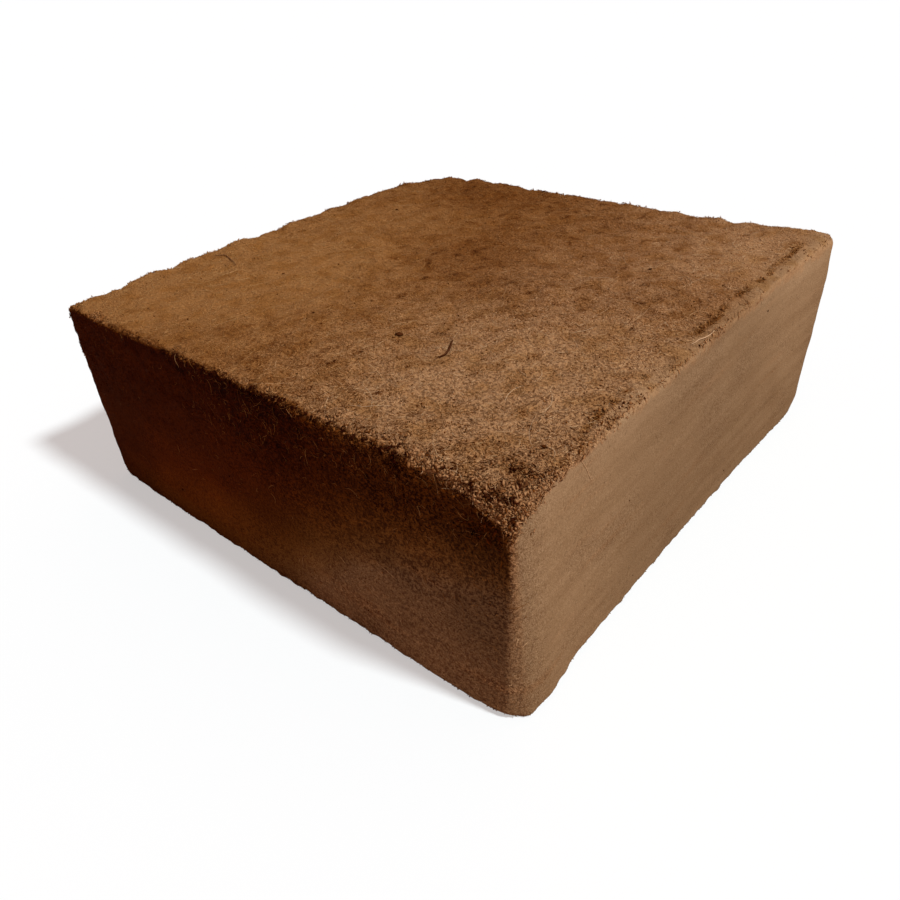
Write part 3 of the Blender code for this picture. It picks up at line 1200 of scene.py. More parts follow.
    def crumbly_share(self, points: np.ndarray, outward: np.ndarray) -> np.ndarray:
        """How far the coir has come apart at each place: most at the top edges and worn corners.

        Args:
            points: Places on the sharp block.
            outward: The way the surface faces at each place.

        Returns:
            A share from 0 to 1 for each place.
        """
        x, y, z = points.T
        half = self.form.half
        below = self.form.height - z
        ragged = (1.0 + bumpy(self.raggedness, points)).clip(self.least_ragged) * MM
        share = np.zeros(len(points))
        away_and_along = ((half + y, x), (half - x, y), (half - y, x), (half + x, y))
        for (away, along), edge in zip(away_and_along, self.top_edges):
            distance = np.hypot(away, edge.squash * below)
            width = edge.width.at(along) * ragged
            share = np.maximum(share, edge.strength.at(along) * rise(-distance, -width, 0.0))
        for side_x, side_y, strength, reach in self.crumbled_corners:
            corner = np.array((side_x * half, side_y * half, self.form.height))
            distance = np.linalg.norm((points - corner) * self.corner_squash, axis=1)
            distance = distance + self.corner_on_right.at(outward[:, 0])
            share = np.maximum(share, strength * rise(-distance, -reach * ragged, 0.0))
        return share * self.crumbly_front.at(outward[:, 1])

    def loose(self, points: np.ndarray) -> np.ndarray:
        """How loose the felt is, and so how much its tones differ: most at the crumbled corner."""
        to_corner = np.hypot(points[:, 0] - self.form.half, points[:, 1] + self.form.half)
        return self.looseness.at(to_corner)

    def broad_tone(self, points: np.ndarray) -> np.ndarray:
        """How much lighter or darker the pith is in broad patches of the top, and down the sides.

        Args:
            points: Places on the sharp block.

        Returns:
            A shift of tone for each place.
        """
        x, y, z = points.T
        tone = np.zeros(len(points))
        for middle_x, middle_y, shift, reach in self.broad_tones:
            distance = np.hypot(x - middle_x, y - middle_y)
            tone += shift * np.exp(-((distance / reach) ** 2))
        return tone * self.broad_tones_up.at(z) + self.darker_down.at(z)

    def grainy(self, points: np.ndarray, outward: np.ndarray) -> np.ndarray:
        """How coarse the grain of the walls is: most on the front, and beside the nearest edge.

        Args:
            points: Places on the sharp block.
            outward: The way the surface faces at each place.

        Returns:
            A share from 0 to 1 for each place.
        """
        front = self.front_grain + self.front_grain_bumps.at(points)
        front = front * self.facing_side.at(-outward[:, 1])
        right = np.maximum(self.edge_grain.at(points[:, 1]), self.right_grain.at(points))
        right = right * self.facing_side.at(outward[:, 0])
        return np.clip(np.maximum(front, right), 0.0, 1.0)

    def crevice(self, points: np.ndarray) -> np.ndarray:
        """The crevice along the top where the pressed right wall has come away from the felt."""
        x, y, z = points.T
        away = x - self.crevice_at - bumpy(self.crevice_bumps, points)
        strength = self.crevice_openness + bumpy(self.crevice_breaks, points)
        strength = strength.clip(0.0, self.crevice_most.at(y))
        front_end, back_end = self.crevice_ends
        strength = strength * front_end.at(y) * back_end.at(y) * (z > self.form.height - MM)
        return np.exp(-((away / self.crevice_width) ** 2)) * strength

    def fine_relief(
        self, places: np.ndarray, felt: np.ndarray, crumbly: np.ndarray
    ) -> np.ndarray:
        """Relief finer than the solid holds.

        Args:
            places: Places on the finished block.
            felt: How much felt covers each place.
            crumbly: How far the coir has come apart at each place.

        Returns:
            One height for each place.
        """
        lump, lump_length = self.felt_lumps
        soft = bumpy(self.felt_bumps, places) + lump * crumbs(places, lump_length, 3)
        lump, lump_length = self.broken_lumps
        broken = lump * (crumbs(places, lump_length, 4) - self.broken_sunk)
        broken = broken + self.broken_bumps.at(places)
        layers = bumpy(self.wall_bumps, places)
        return (soft * felt + layers * (1.0 - felt) + broken * crumbly) * MM

    def build(self) -> tuple[bpy.types.Object, Surface]:
        """Builds and dresses the block.

        Returns:
            The piece that stands for the solid, and its skin.
        """
        sharp, squares, fan, sides = self.skin()
        places, outward = self.form.worn(sharp)
        low, high = places.min(axis=0), places.max(axis=0)
        places = LOW + (places - low) / (high - low) * (HIGH - LOW)
        felt, crumbly = self.felt_share(sharp, outward), self.crumbly_share(sharp, outward)
        crevice = self.crevice(sharp)
        above_base = rise(outward[:, 2], *self.form.base_to_side)
        in_foot = self.foot_band.at(sharp[:, 2])
        bumps = bumpy(self.foot_bumps, places) * in_foot
        height = self.fine_relief(places, felt, crumbly) - self.crevice_depth * crevice
        places = places + outward * (height * above_base)[:, None]
        walls = np.sign(sharp) * self.wall_rim.at(np.abs(sharp)) * (1.0, 1.0, 0.0)
        places = places + walls * bumps[:, None]
        loose, fringe = self.loose(sharp), self.fringe(sharp)
        # Painted shade: also in the crevice, and along the ragged front edge
        painted_shade_and_warmth = np.maximum(self.painted_shade_and_warmth_share(sharp, outward), self.crevice_painted_shade * crevice)
        painted_shade_and_warmth = np.maximum(painted_shade_and_warmth, self.fringe_gloom * fringe)
        # Tufts, and painted shade standing for hollows in the felt
        tufts = bumpy(self.tuft_tones, places) * loose + self.painted_hollow_shade.at(places)
        drift = bumpy(self.drifts, places) + tufts * felt
        # Broad tones of the top, and painted shade along the ragged front edge
        drift = drift + self.broad_tone(sharp) + self.fringe_painted_shade * fringe
        uv = self.layout(sharp, squares, fan, sides)
        piece = mesh_object("coir_block", places, [squares, fan], uv)
        piece.data.shade_smooth()
        crumbly = np.maximum(crumbly, self.crevice_crumbly * crevice)
        values = dict(felt=felt, crumbly=crumbly, drift=drift, loose=loose)
        # Painted light and shade of the walls, which the finish reads as the mesh's light
        light = self.painted_light_and_shade(sharp, outward)
        own = dict(painted_shade_and_warmth=painted_shade_and_warmth, light=light, grainy=self.grainy(sharp, outward))
        for name, value in (values | own).items():
            point_values(piece, name, value)
        # The small pieces carry the walls' painted light and shade as more painted shade
        values["painted_shade_and_warmth"] = np.clip(painted_shade_and_warmth - self.darkness_as_gloom * np.log(light), 0.0, 1.0)
        values["foot"], values["fringe"] = in_foot * above_base, fringe
        piece.data.materials.append(BlockFinish().build())
        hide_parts(NODE)
        triangles = np.concatenate((squares[:, :3], squares[:, (0, 2, 3)], fan))
        return piece, Surface(places, outward, triangles, **values)

    def layout(
        self, sharp: np.ndarray, squares: np.ndarray, fan: np.ndarray, sides: np.ndarray
    ) -> np.ndarray:
        """Lays the sharp block's faces side by side on a map.

        Args:
            sharp: The vertices of the sharp block.
            squares: The squares' corners.
            fan: The base's triangles.
            sides: The axis and end of each square.

        Returns:
            A place on the map for each corner of each face.
        """
        side, height, gap = 2 * self.form.half, self.form.height, 4.0 * MM
        span = 2 * side + 3 * gap
        column = side + 2 * gap
        corners = sharp[squares]
        x, y, z = (corners[:, :, axis] + self.form.half * (axis < 2) for axis in range(3))
        uv = np.zeros((*squares.shape, 2))
        starts = {
            (2, 1): (gap, gap, x, y),
            (2, 0): (column, gap, x, y),
            (1, 0): (gap, side + 2 * gap, x, z),
            (1, 1): (column, side + 2 * gap, x, z),
            (0, 1): (gap, side + height + 3 * gap, y, z),
            (0, 0): (column, side + height + 3 * gap, y, z),
        }
        for (axis, end), (u0, v0, u, v) in starts.items():
            chosen = (sides == (axis, end)).all(axis=1)
            uv[chosen, :, 0] = u0 + u[chosen]
            uv[chosen, :, 1] = v0 + v[chosen]
        base = sharp[fan][:, :, :2] + self.form.half + (column, gap)
        return np.concatenate((uv.reshape(-1, 2), base.reshape(-1, 2))) / span


class CrumbShape(Enum):
    """The plain solids that crumbs are roughened from, as points and faces."""

    FLAKE = 6
    LUMP = 12

    def base(self) -> tuple[np.ndarray, np.ndarray]:
        """The solid's points at radius 1, and its triangles facing out."""
        if self is CrumbShape.FLAKE:
            points = np.concatenate((np.eye(3), -np.eye(3)))
        else:
            gold = (1 + math.sqrt(5)) / 2
            pairs = [(s, t * gold) for s in (-1, 1) for t in (-1, 1)]
            rows = [(0, a, b) for a, b in pairs] + [(a, b, 0) for a, b in pairs]
            points = unit(np.array(rows + [(b, 0, a) for a, b in pairs]))
        apart = np.linalg.norm(points[:, None] - points[None], axis=2)
        near = (apart > 0) & (apart < 1.01 * apart[apart > 0].min())
        count = len(points)
        triangles = [
            (a, b, c)
            for a in range(count)
            for b in range(a + 1, count)
            for c in range(b + 1, count)
            if near[a, b] and near[b, c] and near[a, c]
        ]
        faces = np.array(triangles)
        a, b, c = points[faces].transpose(1, 0, 2)
        inward = (np.cross(b - a, c - a) * (a + b + c)).sum(axis=1) < 0
        faces[inward] = faces[inward][:, ::-1]
        return points, faces


def grain_map(
    tones: np.ndarray, glooms: np.ndarray, corners: np.ndarray
) -> np.ndarray:
    """Places small pieces on a map by their tone and their painted shade and warmth, each over a small
    patch.

    Args:
        tones: Each piece's tone, from 0 to 1.
        glooms: Each piece's painted shade and warmth, from 0 to 1.
        corners: A piece's faces' corners, as numbers from 0.

    Returns:
        A place on the map for each corner of each face.
    """
    count = corners.max() + 1
    turn = 2 * math.pi * np.arange(count) / count
    rim = MAP_PATCH * np.stack((np.cos(turn), np.sin(turn)), axis=1)
    middle = MAP_MARGIN + (1.0 - 2 * MAP_MARGIN) * np.stack((tones, glooms), axis=1)
    return (middle[:, None] + rim[corners.ravel()][None]).reshape(-1, 2)


@dataclass(frozen=True)
class Mottle:
    """How the tones of small pieces differ: in clumps where it is crumbly, in tufts where loose."""

    clumps: Patches = Patches(Bumps(1.0, 2.8, 31), Ramp(-0.30, 0.05, 1.0, -0.70))
    tufts: Patches = Patches(Bumps(1.0, 1.7, 32), Ramp(-0.35, 0.15, 1.0, -0.60))
    clump_contrast: float = 1.05
    tuft_contrast: float = 0.72
    tufts_from: float = 0.55
    tufts_lost_in_crumbs: float = 0.5
    # Painted shade on crumbly pieces where the skin has painted shade, and how much of it the pieces keep
    darker_in_gloom: Ramp = Ramp(0.0, 0.35, -0.9)
    gloom_left: Ramp = Ramp(0.05, 0.6, -0.60, 1.0)
    most_loose: float = 1.4
    dark_from: float = 0.3
    dark_tone: float = 0.3
    dark_gloom: float = 0.28


@dataclass
class SmallPieces:
    """What every bed of small pieces has: its finish, its spread and its tones."""

    name: str
    finish: GrainFinish
    count: int
    spread: Spread
    tone: tuple[float, float]
    seed: int
    # A factor on each piece's painted shade and warmth
    painted_shade_and_warmth: float = 1.0
    dark_share: float = 0.0
    clumped: float = 1.0
    mottle: Mottle = Mottle()

    def __post_init__(self) -> None:
        """Starts the source of random numbers."""
        self.chance = np.random.default_rng(self.seed)

    def between(self, limits: tuple[float, float], bias: float = 1.0) -> np.ndarray:
        """A random value for each piece, in even ratios; a bias over 1 favours the low end."""
        low, high = limits
        return low * (high / low) ** (self.chance.random(self.count) ** bias)

    def tones(
        self, skin: Surface, places: np.ndarray, chosen: np.ndarray
    ) -> tuple[np.ndarray, np.ndarray]:
        """Each piece's tone, and its painted shade and warmth.

        Args:
            skin: The skin that the pieces lie on.
            places: Where each piece starts.
            chosen: The triangle that it starts on.

        Returns:
            The tones, and the painted shade and warmth, from 0 to 1.
        """
        low, high = self.tone
        apart = (high - low) * (self.chance.random(self.count) - 0.5)
        drift, painted_shade_and_warmth, loose, crumbly = (
            skin.face_values(values)[chosen]
            for values in (skin.drift, skin.painted_shade_and_warmth, skin.loose, skin.crumbly)
        )
        mottle = self.mottle
        tufts = mottle.tuft_contrast * (loose - mottle.tufts_from).clip(0.0) * mottle.tufts.at(places)
        tufts = tufts * (1.0 - mottle.tufts_lost_in_crumbs * crumbly)
        clumps = mottle.clump_contrast * crumbly * mottle.clumps.at(places) + tufts
        clumps = clumps + mottle.darker_in_gloom.at(crumbly) * painted_shade_and_warmth
        own = (low + high) / 2 + apart * np.minimum(loose, mottle.most_loose) + drift
        own = own + self.clumped * clumps
        dark = self.chance.random(self.count) < self.dark_share * (loose - mottle.dark_from)
        own = np.where(dark, mottle.dark_tone * own, own)
        painted_shade_and_warmth = painted_shade_and_warmth * mottle.gloom_left.at(crumbly) + mottle.dark_gloom * dark
        return np.clip(own, 0.0, 1.0), np.clip(self.painted_shade_and_warmth * painted_shade_and_warmth, 0.0, 1.0)

    def dress(
        self, points: np.ndarray, faces: list[np.ndarray], tones: np.ndarray, glooms: np.ndarray
    ) -> bpy.types.Object:
        """Makes one mesh of copies of a shape, each with a tone of its own.

        Args:
            points: For each copy, its vertices.
            faces: Arrays of the shape's faces, each with the same number of corners a face.
            tones: Each copy's tone.
            glooms: Each copy's painted shade and warmth.

        Returns:
            The piece.
        """
        count, size, _ = points.shape
        first = (np.arange(count) * size)[:, None, None]
        numbers = [(group[None] + first).reshape(-1, group.shape[1]) for group in faces]
        uv = np.concatenate([grain_map(tones, glooms, group) for group in faces])
        piece = mesh_object(self.name, points.reshape(-1, 3), numbers, uv)
        point_values(piece, "tone", np.repeat(tones, size))
        point_values(piece, "painted_shade_and_warmth", np.repeat(glooms, size))
        piece.data.materials.append(self.finish.build())
        return piece


@dataclass(kw_only=True)
class CrumbBed(SmallPieces):
    """Loose crumbs of pith that lie half sunk in the block."""

    shape: CrumbShape
    size: tuple[float, float]
    flatness: float = 0.4
    roughness: float = 0.35
    sunk: float = 0.5
    elongation: float = 1.0
    small_bias: float = 1.5
    highest: float = 0.8
    smaller_on_walls: Ramp = Ramp(0.1, 0.6, 0.45, 0.55)

    def build(self, skin: Surface) -> bpy.types.Object:
        """Builds and dresses the crumbs.

        Args:
            skin: The skin that they lie on.

        Returns:
            The piece.
        """
        places, chosen = skin.scatter(self.count, self.spread.density(skin), self.chance)
        points, faces = self.shape.base()
        radius = self.between(self.size, self.small_bias) * MM / 2
        low, high = 1 - self.roughness, 1 + self.roughness
        rough = self.chance.uniform(low, high, (self.count, len(points), 1))
        stretch = self.chance.uniform(self.flatness, 1.0, (self.count, 1, 3))
        long_axis = np.array((self.elongation, 1.0, 1.0)) / self.elongation**0.5
        open_coir = skin.face_values(np.maximum(skin.crumbly, skin.felt))[chosen]
        radius = radius * self.smaller_on_walls.at(open_coir)
        lumps = points[None] * rough * stretch * long_axis * radius[:, None, None]
        lumps = np.einsum("nij,nkj->nki", self.turns(), lumps)
        lift = radius * (self.highest - 2.0 * self.sunk * self.chance.random(self.count))
        middles = places + skin.face_normals[chosen] * lift[:, None]
        lumps = lumps + middles[:, None]
        lumps[:, :, 2] = np.maximum(lumps[:, :, 2], 0.0)
        return self.dress(lumps, [faces], *self.tones(skin, places, chosen))

    def turns(self) -> np.ndarray:
        """A random turn for each crumb, as a matrix."""
        w, x, y, z = unit(self.chance.normal(size=(self.count, 4))).T
        rows = (
            (1 - 2 * (y * y + z * z), 2 * (x * y - z * w), 2 * (x * z + y * w)),
            (2 * (x * y + z * w), 1 - 2 * (x * x + z * z), 2 * (y * z - x * w)),
            (2 * (x * z - y * w), 2 * (y * z + x * w), 1 - 2 * (x * x + y * y)),
        )
        return np.array(rows).transpose(2, 0, 1)


def strand_shape(joints: int) -> list[np.ndarray]:
    """The faces of a closed strand with a point at each end and rings of three between.

    Args:
        joints: How many points its path has.

    Returns:
        The triangles at its ends, and the squares between its rings where it has any.
    """
    rings = joints - 2
    last = 3 * rings + 1
    ends = [(0, 1 + (k + 1) % 3, 1 + k) for k in range(3)]
    ends += [(last, last - 3 + k, last - 3 + (k + 1) % 3) for k in range(3)]
    walls = [
        (1 + 3 * r + k, 1 + 3 * r + (k + 1) % 3, 4 + 3 * r + (k + 1) % 3, 4 + 3 * r + k)
        for r in range(rings - 1)
        for k in range(3)
    ]
    return [np.array(ends), np.array(walls)] if walls else [np.array(ends)]


def strand_points(path: np.ndarray, radius: np.ndarray) -> np.ndarray:
    """The vertices of strands along paths, tapering to both ends.

    Args:
        path: The points that each strand follows.
        radius: Each strand's radius at its middle.

    Returns:
        For each strand, its vertices.
    """
    count, joints, _ = path.shape
    ahead = unit(path[:, 2:] - path[:, :-2])
    spare = np.where(np.abs(ahead[:, :, 2:]) > STEEP, (1.0, 0.0, 0.0), (0.0, 0.0, 1.0))
    side = unit(np.cross(ahead, spare))
    up = np.cross(side, ahead)
    share = np.arange(1, joints - 1) / (joints - 1)
    thick = radius[:, None] * (4 * share * (1 - share))[None] ** TAPER
    rings = []
    for corner in range(3):
        angle = 2 * math.pi * corner / 3
        way = side * math.cos(angle) + up * math.sin(angle)
        rings.append(path[:, 1:-1] + way * thick[:, :, None])
    ring = np.stack(rings, axis=2).reshape(count, 3 * (joints - 2), 3)
    return np.concatenate((path[:, :1], ring, path[:, -1:]), axis=1)


@dataclass(kw_only=True)
class FibreMat(SmallPieces):
    """Thin fibres that lie along the skin, curl, and lift at their ends."""

    joints: int
    length: tuple[float, float]
    width: tuple[float, float]
    curl: float
    lift: float
    wander: float = 0.5
    rest: tuple[float, float] = (-0.2, 0.5)
    raised_end: float = 1.6
    shorter_in_fringe: float = 0.55

    def build(self, skin: Surface) -> bpy.types.Object:
        """Builds and dresses the fibres.

        Args:
            skin: The skin that they lie on.

        Returns:
            The piece.
        """
        places, chosen = skin.scatter(self.count, self.spread.density(skin), self.chance)
        fringe = skin.face_values(skin.fringe)[chosen]
        short = 1.0 - self.clumped * self.shorter_in_fringe * fringe
        path = self.paths(skin, places, skin.face_normals[chosen], short)
        radius = self.between(self.width) * MM / 2
        points = strand_points(path, radius)
        points[:, :, 2] = np.maximum(points[:, :, 2], 0.0)
        piece = self.dress(points, strand_shape(self.joints), *self.tones(skin, places, chosen))
        piece.data.shade_smooth()
        return piece

    def paths(
        self, skin: Surface, places: np.ndarray, normals: np.ndarray, short: np.ndarray
    ) -> np.ndarray:
        """Lets each fibre run along the skin with a slowly turning heading.

        Args:
            skin: The skin that the fibres lie on.
            places: Where each fibre starts.
            normals: The way the skin faces there.
            short: A factor on each fibre's length.

        Returns:
            The points that each fibre follows.
        """
        chance, count, joints = self.chance, self.count, self.joints
        heading = unit(np.cross(normals, unit(chance.normal(size=(count, 3)))))
        step = self.between(self.length) * short * MM / (joints - 1)
        bend = chance.normal(size=count) * self.curl
        path = np.zeros((count, joints, 3))
        here = places
        rest = chance.uniform(*self.rest, count) * self.lift * MM
        raised = chance.random((2, count)) ** 2 * self.raised_end * self.lift * MM
        for joint in range(joints):
            share = joint / (joints - 1)
            start, end = max(1 - 2 * share, 0) ** 2, max(2 * share - 1, 0) ** 2
            path[:, joint] = here + normals * (rest + raised[0] * start + raised[1] * end)[:, None]
            side = np.cross(normals, heading)
            turn = bend + chance.normal(size=count) * self.curl * self.wander
            heading = heading * np.cos(turn)[:, None] + side * np.sin(turn)[:, None]
            here, faces = skin.snapped(here + heading * step[:, None])
            normals = skin.face_normals[faces]
            heading = unit(heading - normals * (heading * normals).sum(axis=1)[:, None])
        return path


@dataclass(frozen=True)
class Fleck:
    """A dark fleck of husk on the skin: where it is, and its length, both in millimetres."""

    place: tuple[float, float, float]
    length: float


@dataclass(frozen=True)
class LoneFibre:
    """A fibre that stands out: its points in millimetres, its width, how far it lifts, its tone."""

    points: tuple[tuple[float, float, float], ...]
    width: float
    lift: float
    tone: float


@dataclass
class Marks:
    """The flecks and lone fibres that give this side of the bale its own look."""

    fleck_finish: GrainFinish
    fibre_finish: GrainFinish
    flecks: tuple[Fleck, ...] = (
        Fleck((30.0, -76.9, 111.0), 5.2),
        Fleck((-22.4, -82.4, 111.0), 1.7),
        Fleck((-77.5, -55.8, 111.0), 2.0),
        Fleck((-102.9, 62.8, 111.0), 2.4),
        Fleck((24.2, -112.0, 111.0), 1.4),
        Fleck((86.2, -106.1, 111.0), 1.5),
        Fleck((86.6, 53.7, 111.0), 2.2),
        Fleck((125.3, -60.4, 111.0), 1.6),
        Fleck((148.5, 65.3, 95.8), 1.6),
    )
    spare_flecks: int = 40
    fibres: tuple[LoneFibre, ...] = (
        LoneFibre(
            ((54.6, -68.1, 111), (57.6, -73, 111), (61.2, -80, 111), (59.6, -85.5, 111)),
            width=1.1, lift=0.5, tone=0.05,
        ),
        LoneFibre(
            ((-139.3, -57.9, 111), (-134, -54, 111), (-124, -56.8, 111), (-113, -61.4, 111)),
            width=0.6, lift=0.3, tone=0.22,
        ),
        LoneFibre(
            ((141.6, -15, 111), (142.3, -9.5, 111), (144.6, -3.0, 111), (144.0, 4.5, 111)),
            width=0.50, lift=0.5, tone=0.85,
        ),
        LoneFibre(
            ((128.0, -146, 111), (128.8, -150.4, 109), (128.7, -151.0, 106), (127.9, -151.4, 103)),
            width=0.17, lift=0.5, tone=0.8,
        ),
    )
    fleck_spread: Spread = Spread(felt=1.0, pressed=0.25)
    fleck_tone: tuple[float, float] = (0.0, 0.6)
    fleck_axes: tuple[float, float, float] = (0.5, 0.38, 0.16)
    fleck_roughness: tuple[float, float] = (0.75, 1.15)
    fleck_lift: float = 0.15
    spare_length: tuple[float, float] = (0.9, 0.6)
    joints: int = 10

    def build(self, skin: Surface) -> list[bpy.types.Object]:
        """Builds and dresses the marks.

        Args:
            skin: The skin that they lie on.

        Returns:
            The pieces.
        """
        return [self.build_flecks(skin), self.build_fibres(skin)]

    def build_flecks(self, skin: Surface) -> bpy.types.Object:
        """Builds the flecks: those at places of their own, and smaller spare ones all round.

        Args:
            skin: The skin that they lie on.

        Returns:
            The piece.
        """
        count = len(self.flecks) + self.spare_flecks
        bed = SmallPieces(
            "husk_flecks", self.fleck_finish, count, self.fleck_spread, self.fleck_tone, 31, clumped=0.0
        )
        spare, _ = skin.scatter(self.spare_flecks, bed.spread.density(skin), bed.chance)
        own = np.array([fleck.place for fleck in self.flecks]) * MM
        places, faces = skin.snapped(np.concatenate((own, spare)))
        normals = skin.face_normals[faces]
        along = unit(np.cross(normals, bed.chance.normal(size=(count, 3))))
        lengths = [fleck.length for fleck in self.flecks] + [0.0] * self.spare_flecks
        least, more = self.spare_length
        lengths = np.maximum(lengths, least + more * bed.chance.random(count)) * MM
        shape, triangles = CrumbShape.LUMP.base()
        shape = shape[None] * bed.chance.uniform(*self.fleck_roughness, (count, len(shape), 1))
        long, wide, thick = self.fleck_axes
        axes = (along * long, np.cross(normals, along) * wide, normals * thick)
        axes = np.stack(axes, axis=1) * lengths[:, None, None]
        middles = places + normals * lengths[:, None] * self.fleck_lift
        points = middles[:, None] + np.einsum("nkj,nji->nki", shape, axes)
        return bed.dress(points, [triangles], *bed.tones(skin, places, faces))

    def build_fibres(self, skin: Surface) -> bpy.types.Object:
        """Builds the lone fibres.

        Args:
            skin: The skin that they lie on.

        Returns:
            The piece.
        """
        count = len(self.fibres)
        bed = SmallPieces("lone_fibres", self.fibre_finish, count, Spread(1.0), (0.0, 1.0), 32)
        share = np.linspace(0.0, 1.0, self.joints)
        knots = np.linspace(0.0, 1.0, len(self.fibres[0].points))
        paths = []
        for fibre in self.fibres:
            given = np.array(fibre.points, float) * MM
            line = np.stack([np.interp(share, knots, given[:, axis]) for axis in range(3)], axis=1)
            line[1:-1] = (line[:-2] + 2 * line[1:-1] + line[2:]) / 4
            on_skin, faces = skin.snapped(line)
            paths.append(on_skin + skin.face_normals[faces] * (fibre.lift + fibre.width / 3) * MM)
        widths = np.array([fibre.width for fibre in self.fibres]) * MM
        tones = np.array([fibre.tone for fibre in self.fibres])
        points = strand_points(np.array(paths), widths / 2)
        piece = bed.dress(points, strand_shape(self.joints), tones, np.zeros(count))
        piece.data.shade_smooth()
        return piece


@dataclass
class Studio:
    """The pale floor, the soft lights and the camera."""

    azimuth: float = 42.225
    elevation: float = 34.154
    roll: float = -4.096
    distance: float = 0.36178
    target: tuple[float, float, float] = (0.05570, -0.07656, 0.05631)
    focal_px: float = 759.2
    frame_px: float = 900.0
    sensor: float = 36.0
    nearest_seen: float = 10.0 * MM
    floor_size: float = 80.0
    floor_gap: float = 0.0003
    sun_from: tuple[float, float, float] = (0.8, 0.16, 1.0)
    sun_strength: float = 3.69
    sun_angle: float = 7.0
    room_strength: float = 0.283
    room_colour: Colour = (1.0, 0.54, 0.43)
    seen_strength: float = 0.97
    bounce_colour: Colour = (0.80, 0.62, 0.52)
    seen_colour: Colour = (0.460, 0.510, 0.525)
    seen_glow: float = 0.46

    def floor(self) -> None:
        """Lays the floor just under the bale: bright as the camera sees it, dimmer as the bale does."""
        half = self.floor_size / 2
        mesh = bpy.data.meshes.new("floor")
        corners = [(-half, -half), (half, -half), (half, half), (-half, half)]
        mesh.from_pydata([(x, y, -self.floor_gap) for x, y in corners], [], [(0, 1, 2, 3)])
        material, nodes, shader = new_material("pale_floor", Roughness=0.9, Specular_IOR_Level=0.0)
        seen = nodes.add("ShaderNodeLightPath").outputs["Is Camera Ray"]
        colour = nodes.mix_colour(seen, (*self.bounce_colour, 1.0), (*self.seen_colour, 1.0))
        nodes.tree.links.new(colour, shader.inputs["Base Color"])
        glow = nodes.math("MULTIPLY", seen, self.seen_glow)
        nodes.tree.links.new(glow, shader.inputs["Emission Strength"])
        shader.inputs["Emission Color"].default_value = (1.0, 1.0, 1.0, 1.0)
        mesh.materials.append(material)
        floor = bpy.data.objects.new("floor", mesh)
        bpy.context.scene.collection.objects.link(floor)

    def lights(self) -> None:
        """Lights the bale from its right, a little from behind, and dimly and warmly all round."""
        light = bpy.data.lights.new("window", "SUN")
        light.energy, light.angle = self.sun_strength, math.radians(self.sun_angle)
        lamp = bpy.data.objects.new("window", light)
        lamp.rotation_euler = (-Vector(self.sun_from)).to_track_quat("-Z", "Y").to_euler()
        bpy.context.scene.collection.objects.link(lamp)
        world = bpy.data.worlds.new("pale_room")
        world.use_nodes = True
        nodes = NodeTree(world.node_tree)
        background = world.node_tree.nodes["Background"]
        seen = nodes.add("ShaderNodeLightPath").outputs["Is Camera Ray"]
        strength = nodes.mix(seen, self.room_strength, self.seen_strength)
        colour = nodes.mix_colour(seen, (*self.room_colour, 1.0), (1.0, 1.0, 1.0, 1.0))
        world.node_tree.links.new(strength, background.inputs["Strength"])
        world.node_tree.links.new(colour, background.inputs["Color"])
        bpy.context.scene.world = world

    def camera(self) -> None:
        """Sets up the camera at the photograph's viewing angle."""
        azimuth, elevation, roll = (
            math.radians(angle) for angle in (self.azimuth, self.elevation, self.roll)
        )
        back = Vector((
            math.sin(azimuth) * math.cos(elevation),
            -math.cos(azimuth) * math.cos(elevation),
            math.sin(elevation),
        ))
        right = Vector((math.cos(azimuth), math.sin(azimuth), 0.0))
        up = back.cross(right)
        tilted_right = math.cos(roll) * right + math.sin(roll) * up
        tilted_up = math.cos(roll) * up - math.sin(roll) * right
        data = bpy.data.cameras.new("camera")
        data.sensor_width = self.sensor
        data.lens = self.focal_px / self.frame_px * self.sensor
        data.clip_start = self.nearest_seen
        camera = bpy.data.objects.new("camera", data)
        turn = Matrix((tilted_right, tilted_up, back)).transposed().to_4x4()
        place = Vector(self.target) + back * self.distance
        camera.matrix_world = Matrix.Translation(place) @ turn
        bpy.context.scene.collection.objects.link(camera)
        bpy.context.scene.camera = camera

    def build(self) -> None:
        """Builds the whole studio."""
        self.floor()
        self.lights()
        self.camera()
        bpy.context.scene.view_settings.view_transform = "Standard"


PITH = GrainFinish(
    "loose_pith", (0.062, 0.017, 0.004), (0.262, 0.115, 0.039), (0.480, 0.278, 0.132)
)
CRUMB = GrainFinish(
    "edge_pith", (0.034, 0.007, 0.002), (0.228, 0.100, 0.034), (0.350, 0.190, 0.086)
)
FIBRE = GrainFinish(
    "fibre", (0.078, 0.022, 0.005), (0.305, 0.146, 0.054), (0.570, 0.375, 0.202)
)
HAIR = GrainFinish(
    "stray_fibre", (0.220, 0.110, 0.044), (0.430, 0.260, 0.125), (0.660, 0.480, 0.290), 0.10
)
PRESSED = GrainFinish(
    "pressed_fibre", (0.120, 0.068, 0.032), (0.190, 0.120, 0.061), (0.285, 0.195, 0.110)
)
HUSK = GrainFinish(
    "husk", (0.022, 0.008, 0.003), (0.055, 0.018, 0.006), (0.110, 0.040, 0.013)
)
LONE = GrainFinish(
    "lone_fibre", (0.055, 0.015, 0.004), (0.300, 0.150, 0.070), (0.640, 0.450, 0.270), 0.0
)


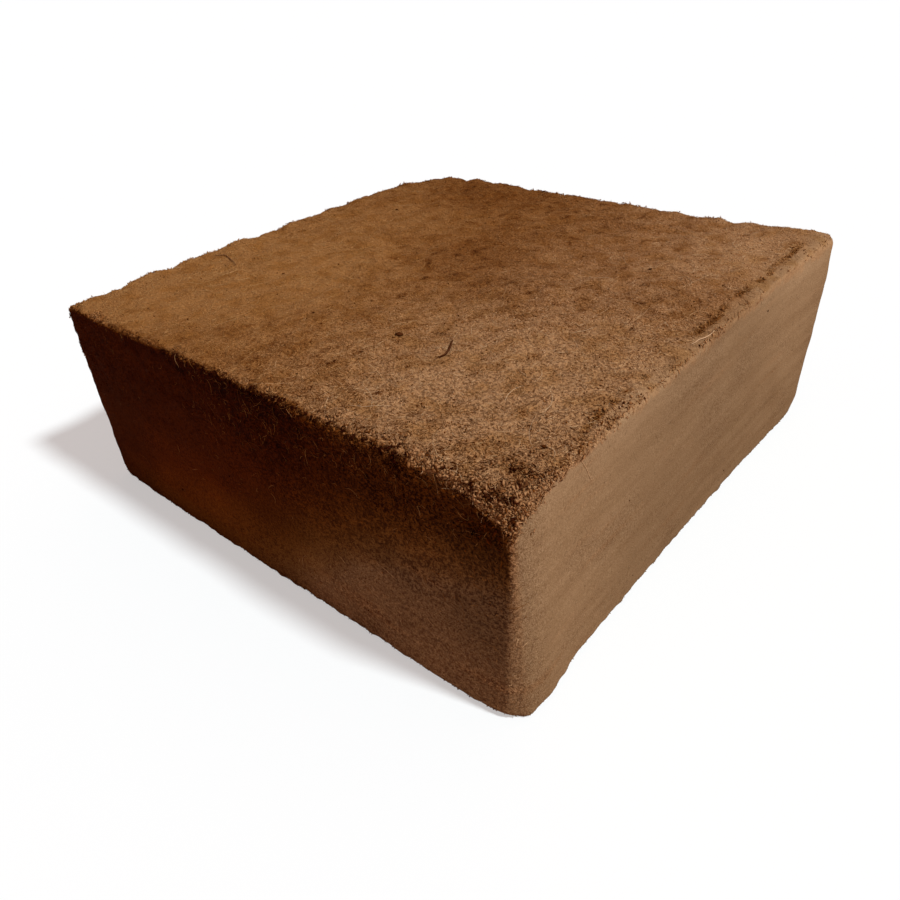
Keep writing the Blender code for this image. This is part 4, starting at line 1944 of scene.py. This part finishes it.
def loose_pieces() -> list[CrumbBed | FibreMat | Marks]:
    """The crumbs and fibres that lie on the block, sizes in millimetres.

    Returns:
        The beds, mats and marks, in the order in which they are laid.
    """
    return [
        CrumbBed(
            "top_crumbs", PITH, 24000, Spread(felt=1.0, crumbly=0.1), (0.12, 0.84), 11, dark_share=0.26,
            shape=CrumbShape.FLAKE, size=(0.35, 1.35), flatness=0.3, elongation=1.3,
        ),
        CrumbBed(
            "edge_crumbs", CRUMB, 900, Spread(crumbly=1.0), (0.20, 0.90), 12, dark_share=0.15,
            shape=CrumbShape.LUMP, size=(0.6, 1.9), flatness=0.4, roughness=0.8, sunk=0.60, elongation=1.9,
        ),
        CrumbBed(
            "edge_grains", CRUMB, 8500, Spread(crumbly=1.0), (0.25, 0.95), 17, dark_share=0.16,
            shape=CrumbShape.FLAKE, size=(0.6, 2.3), flatness=0.30, sunk=0.32, elongation=2.4,
        ),
        CrumbBed(
            "foot_crumbs", PRESSED, 1700, Spread(foot=1.0), (0.2, 0.9), 20, painted_shade_and_warmth=0.6, clumped=0.0,
            shape=CrumbShape.FLAKE, size=(0.5, 1.5), flatness=0.45, sunk=0.58,
        ),
        FibreMat(
            "matted_fibres", FIBRE, 12500, Spread(felt=1.0, crumbly=0.2), (0.22, 1.00), 13,
            joints=4, length=(2.0, 6.5), width=(0.13, 0.30), curl=0.50, lift=0.42,
        ),
        FibreMat(
            "fine_fibres", FIBRE, 31000, Spread(felt=1.0, crumbly=0.15), (0.10, 1.00), 14, dark_share=0.06,
            joints=3, length=(0.8, 2.8), width=(0.15, 0.38), curl=0.60, lift=0.50,
        ),
        FibreMat(
            "edge_fibres", CRUMB, 6500, Spread(crumbly=1.0), (0.25, 1.05), 18, dark_share=0.16,
            joints=3, length=(1.2, 4.2), width=(0.26, 0.60), curl=0.5, lift=0.5,
        ),
        FibreMat(
            "pressed_fibres", PRESSED, 6000, Spread(pressed=1.0), (0.25, 0.95), 15,
            joints=3, length=(0.6, 3.0), width=(0.10, 0.22), curl=0.3, lift=0.10,
        ),
        FibreMat(
            "long_fibres", HAIR, 420, Spread(felt=1.0, crumbly=0.5), (0.0, 0.75), 19,
            joints=9, length=(8.0, 24.0), width=(0.14, 0.26), curl=0.16, lift=0.5,
        ),
        FibreMat(
            "stray_fibres", HAIR, 330, Spread(felt=0.03, crumbly=1.0, pressed=0.001), (0.0, 0.8), 16,
            clumped=0.0, joints=10, length=(3.0, 9.0), width=(0.08, 0.18), curl=0.28, lift=1.5,
        ),
        FibreMat(
            "front_hairs", HAIR, 360, Spread(painted_shade_and_warmth=1.0), (0.0, 0.9), 21, painted_shade_and_warmth=0.30, clumped=0.0,
            joints=8, length=(1.8, 8.5), width=(0.07, 0.16), curl=0.24, lift=0.9,
        ),
        Marks(HUSK, LONE),
    ]


def main() -> None:
    """Builds the studio, the block and what lies on it, and reports each piece."""
    logging.basicConfig(level=logging.INFO, format="%(name)s: %(message)s")
    Studio().build()
    build_painted_shade_and_warmth()
    block, skin = PressedBlock(BlockForm()).build()
    pieces = [block]
    for bed in loose_pieces():
        made = bed.build(skin)
        pieces += made if isinstance(made, list) else [made]
    total = 0
    for piece in pieces:
        piece.data.calc_loop_triangles()
        total += len(piece.data.loop_triangles)
        log.info("%s: %d triangles", piece.name, len(piece.data.loop_triangles))
    log.info("%d triangles in all", total)


if __name__ == "__main__":
    main()
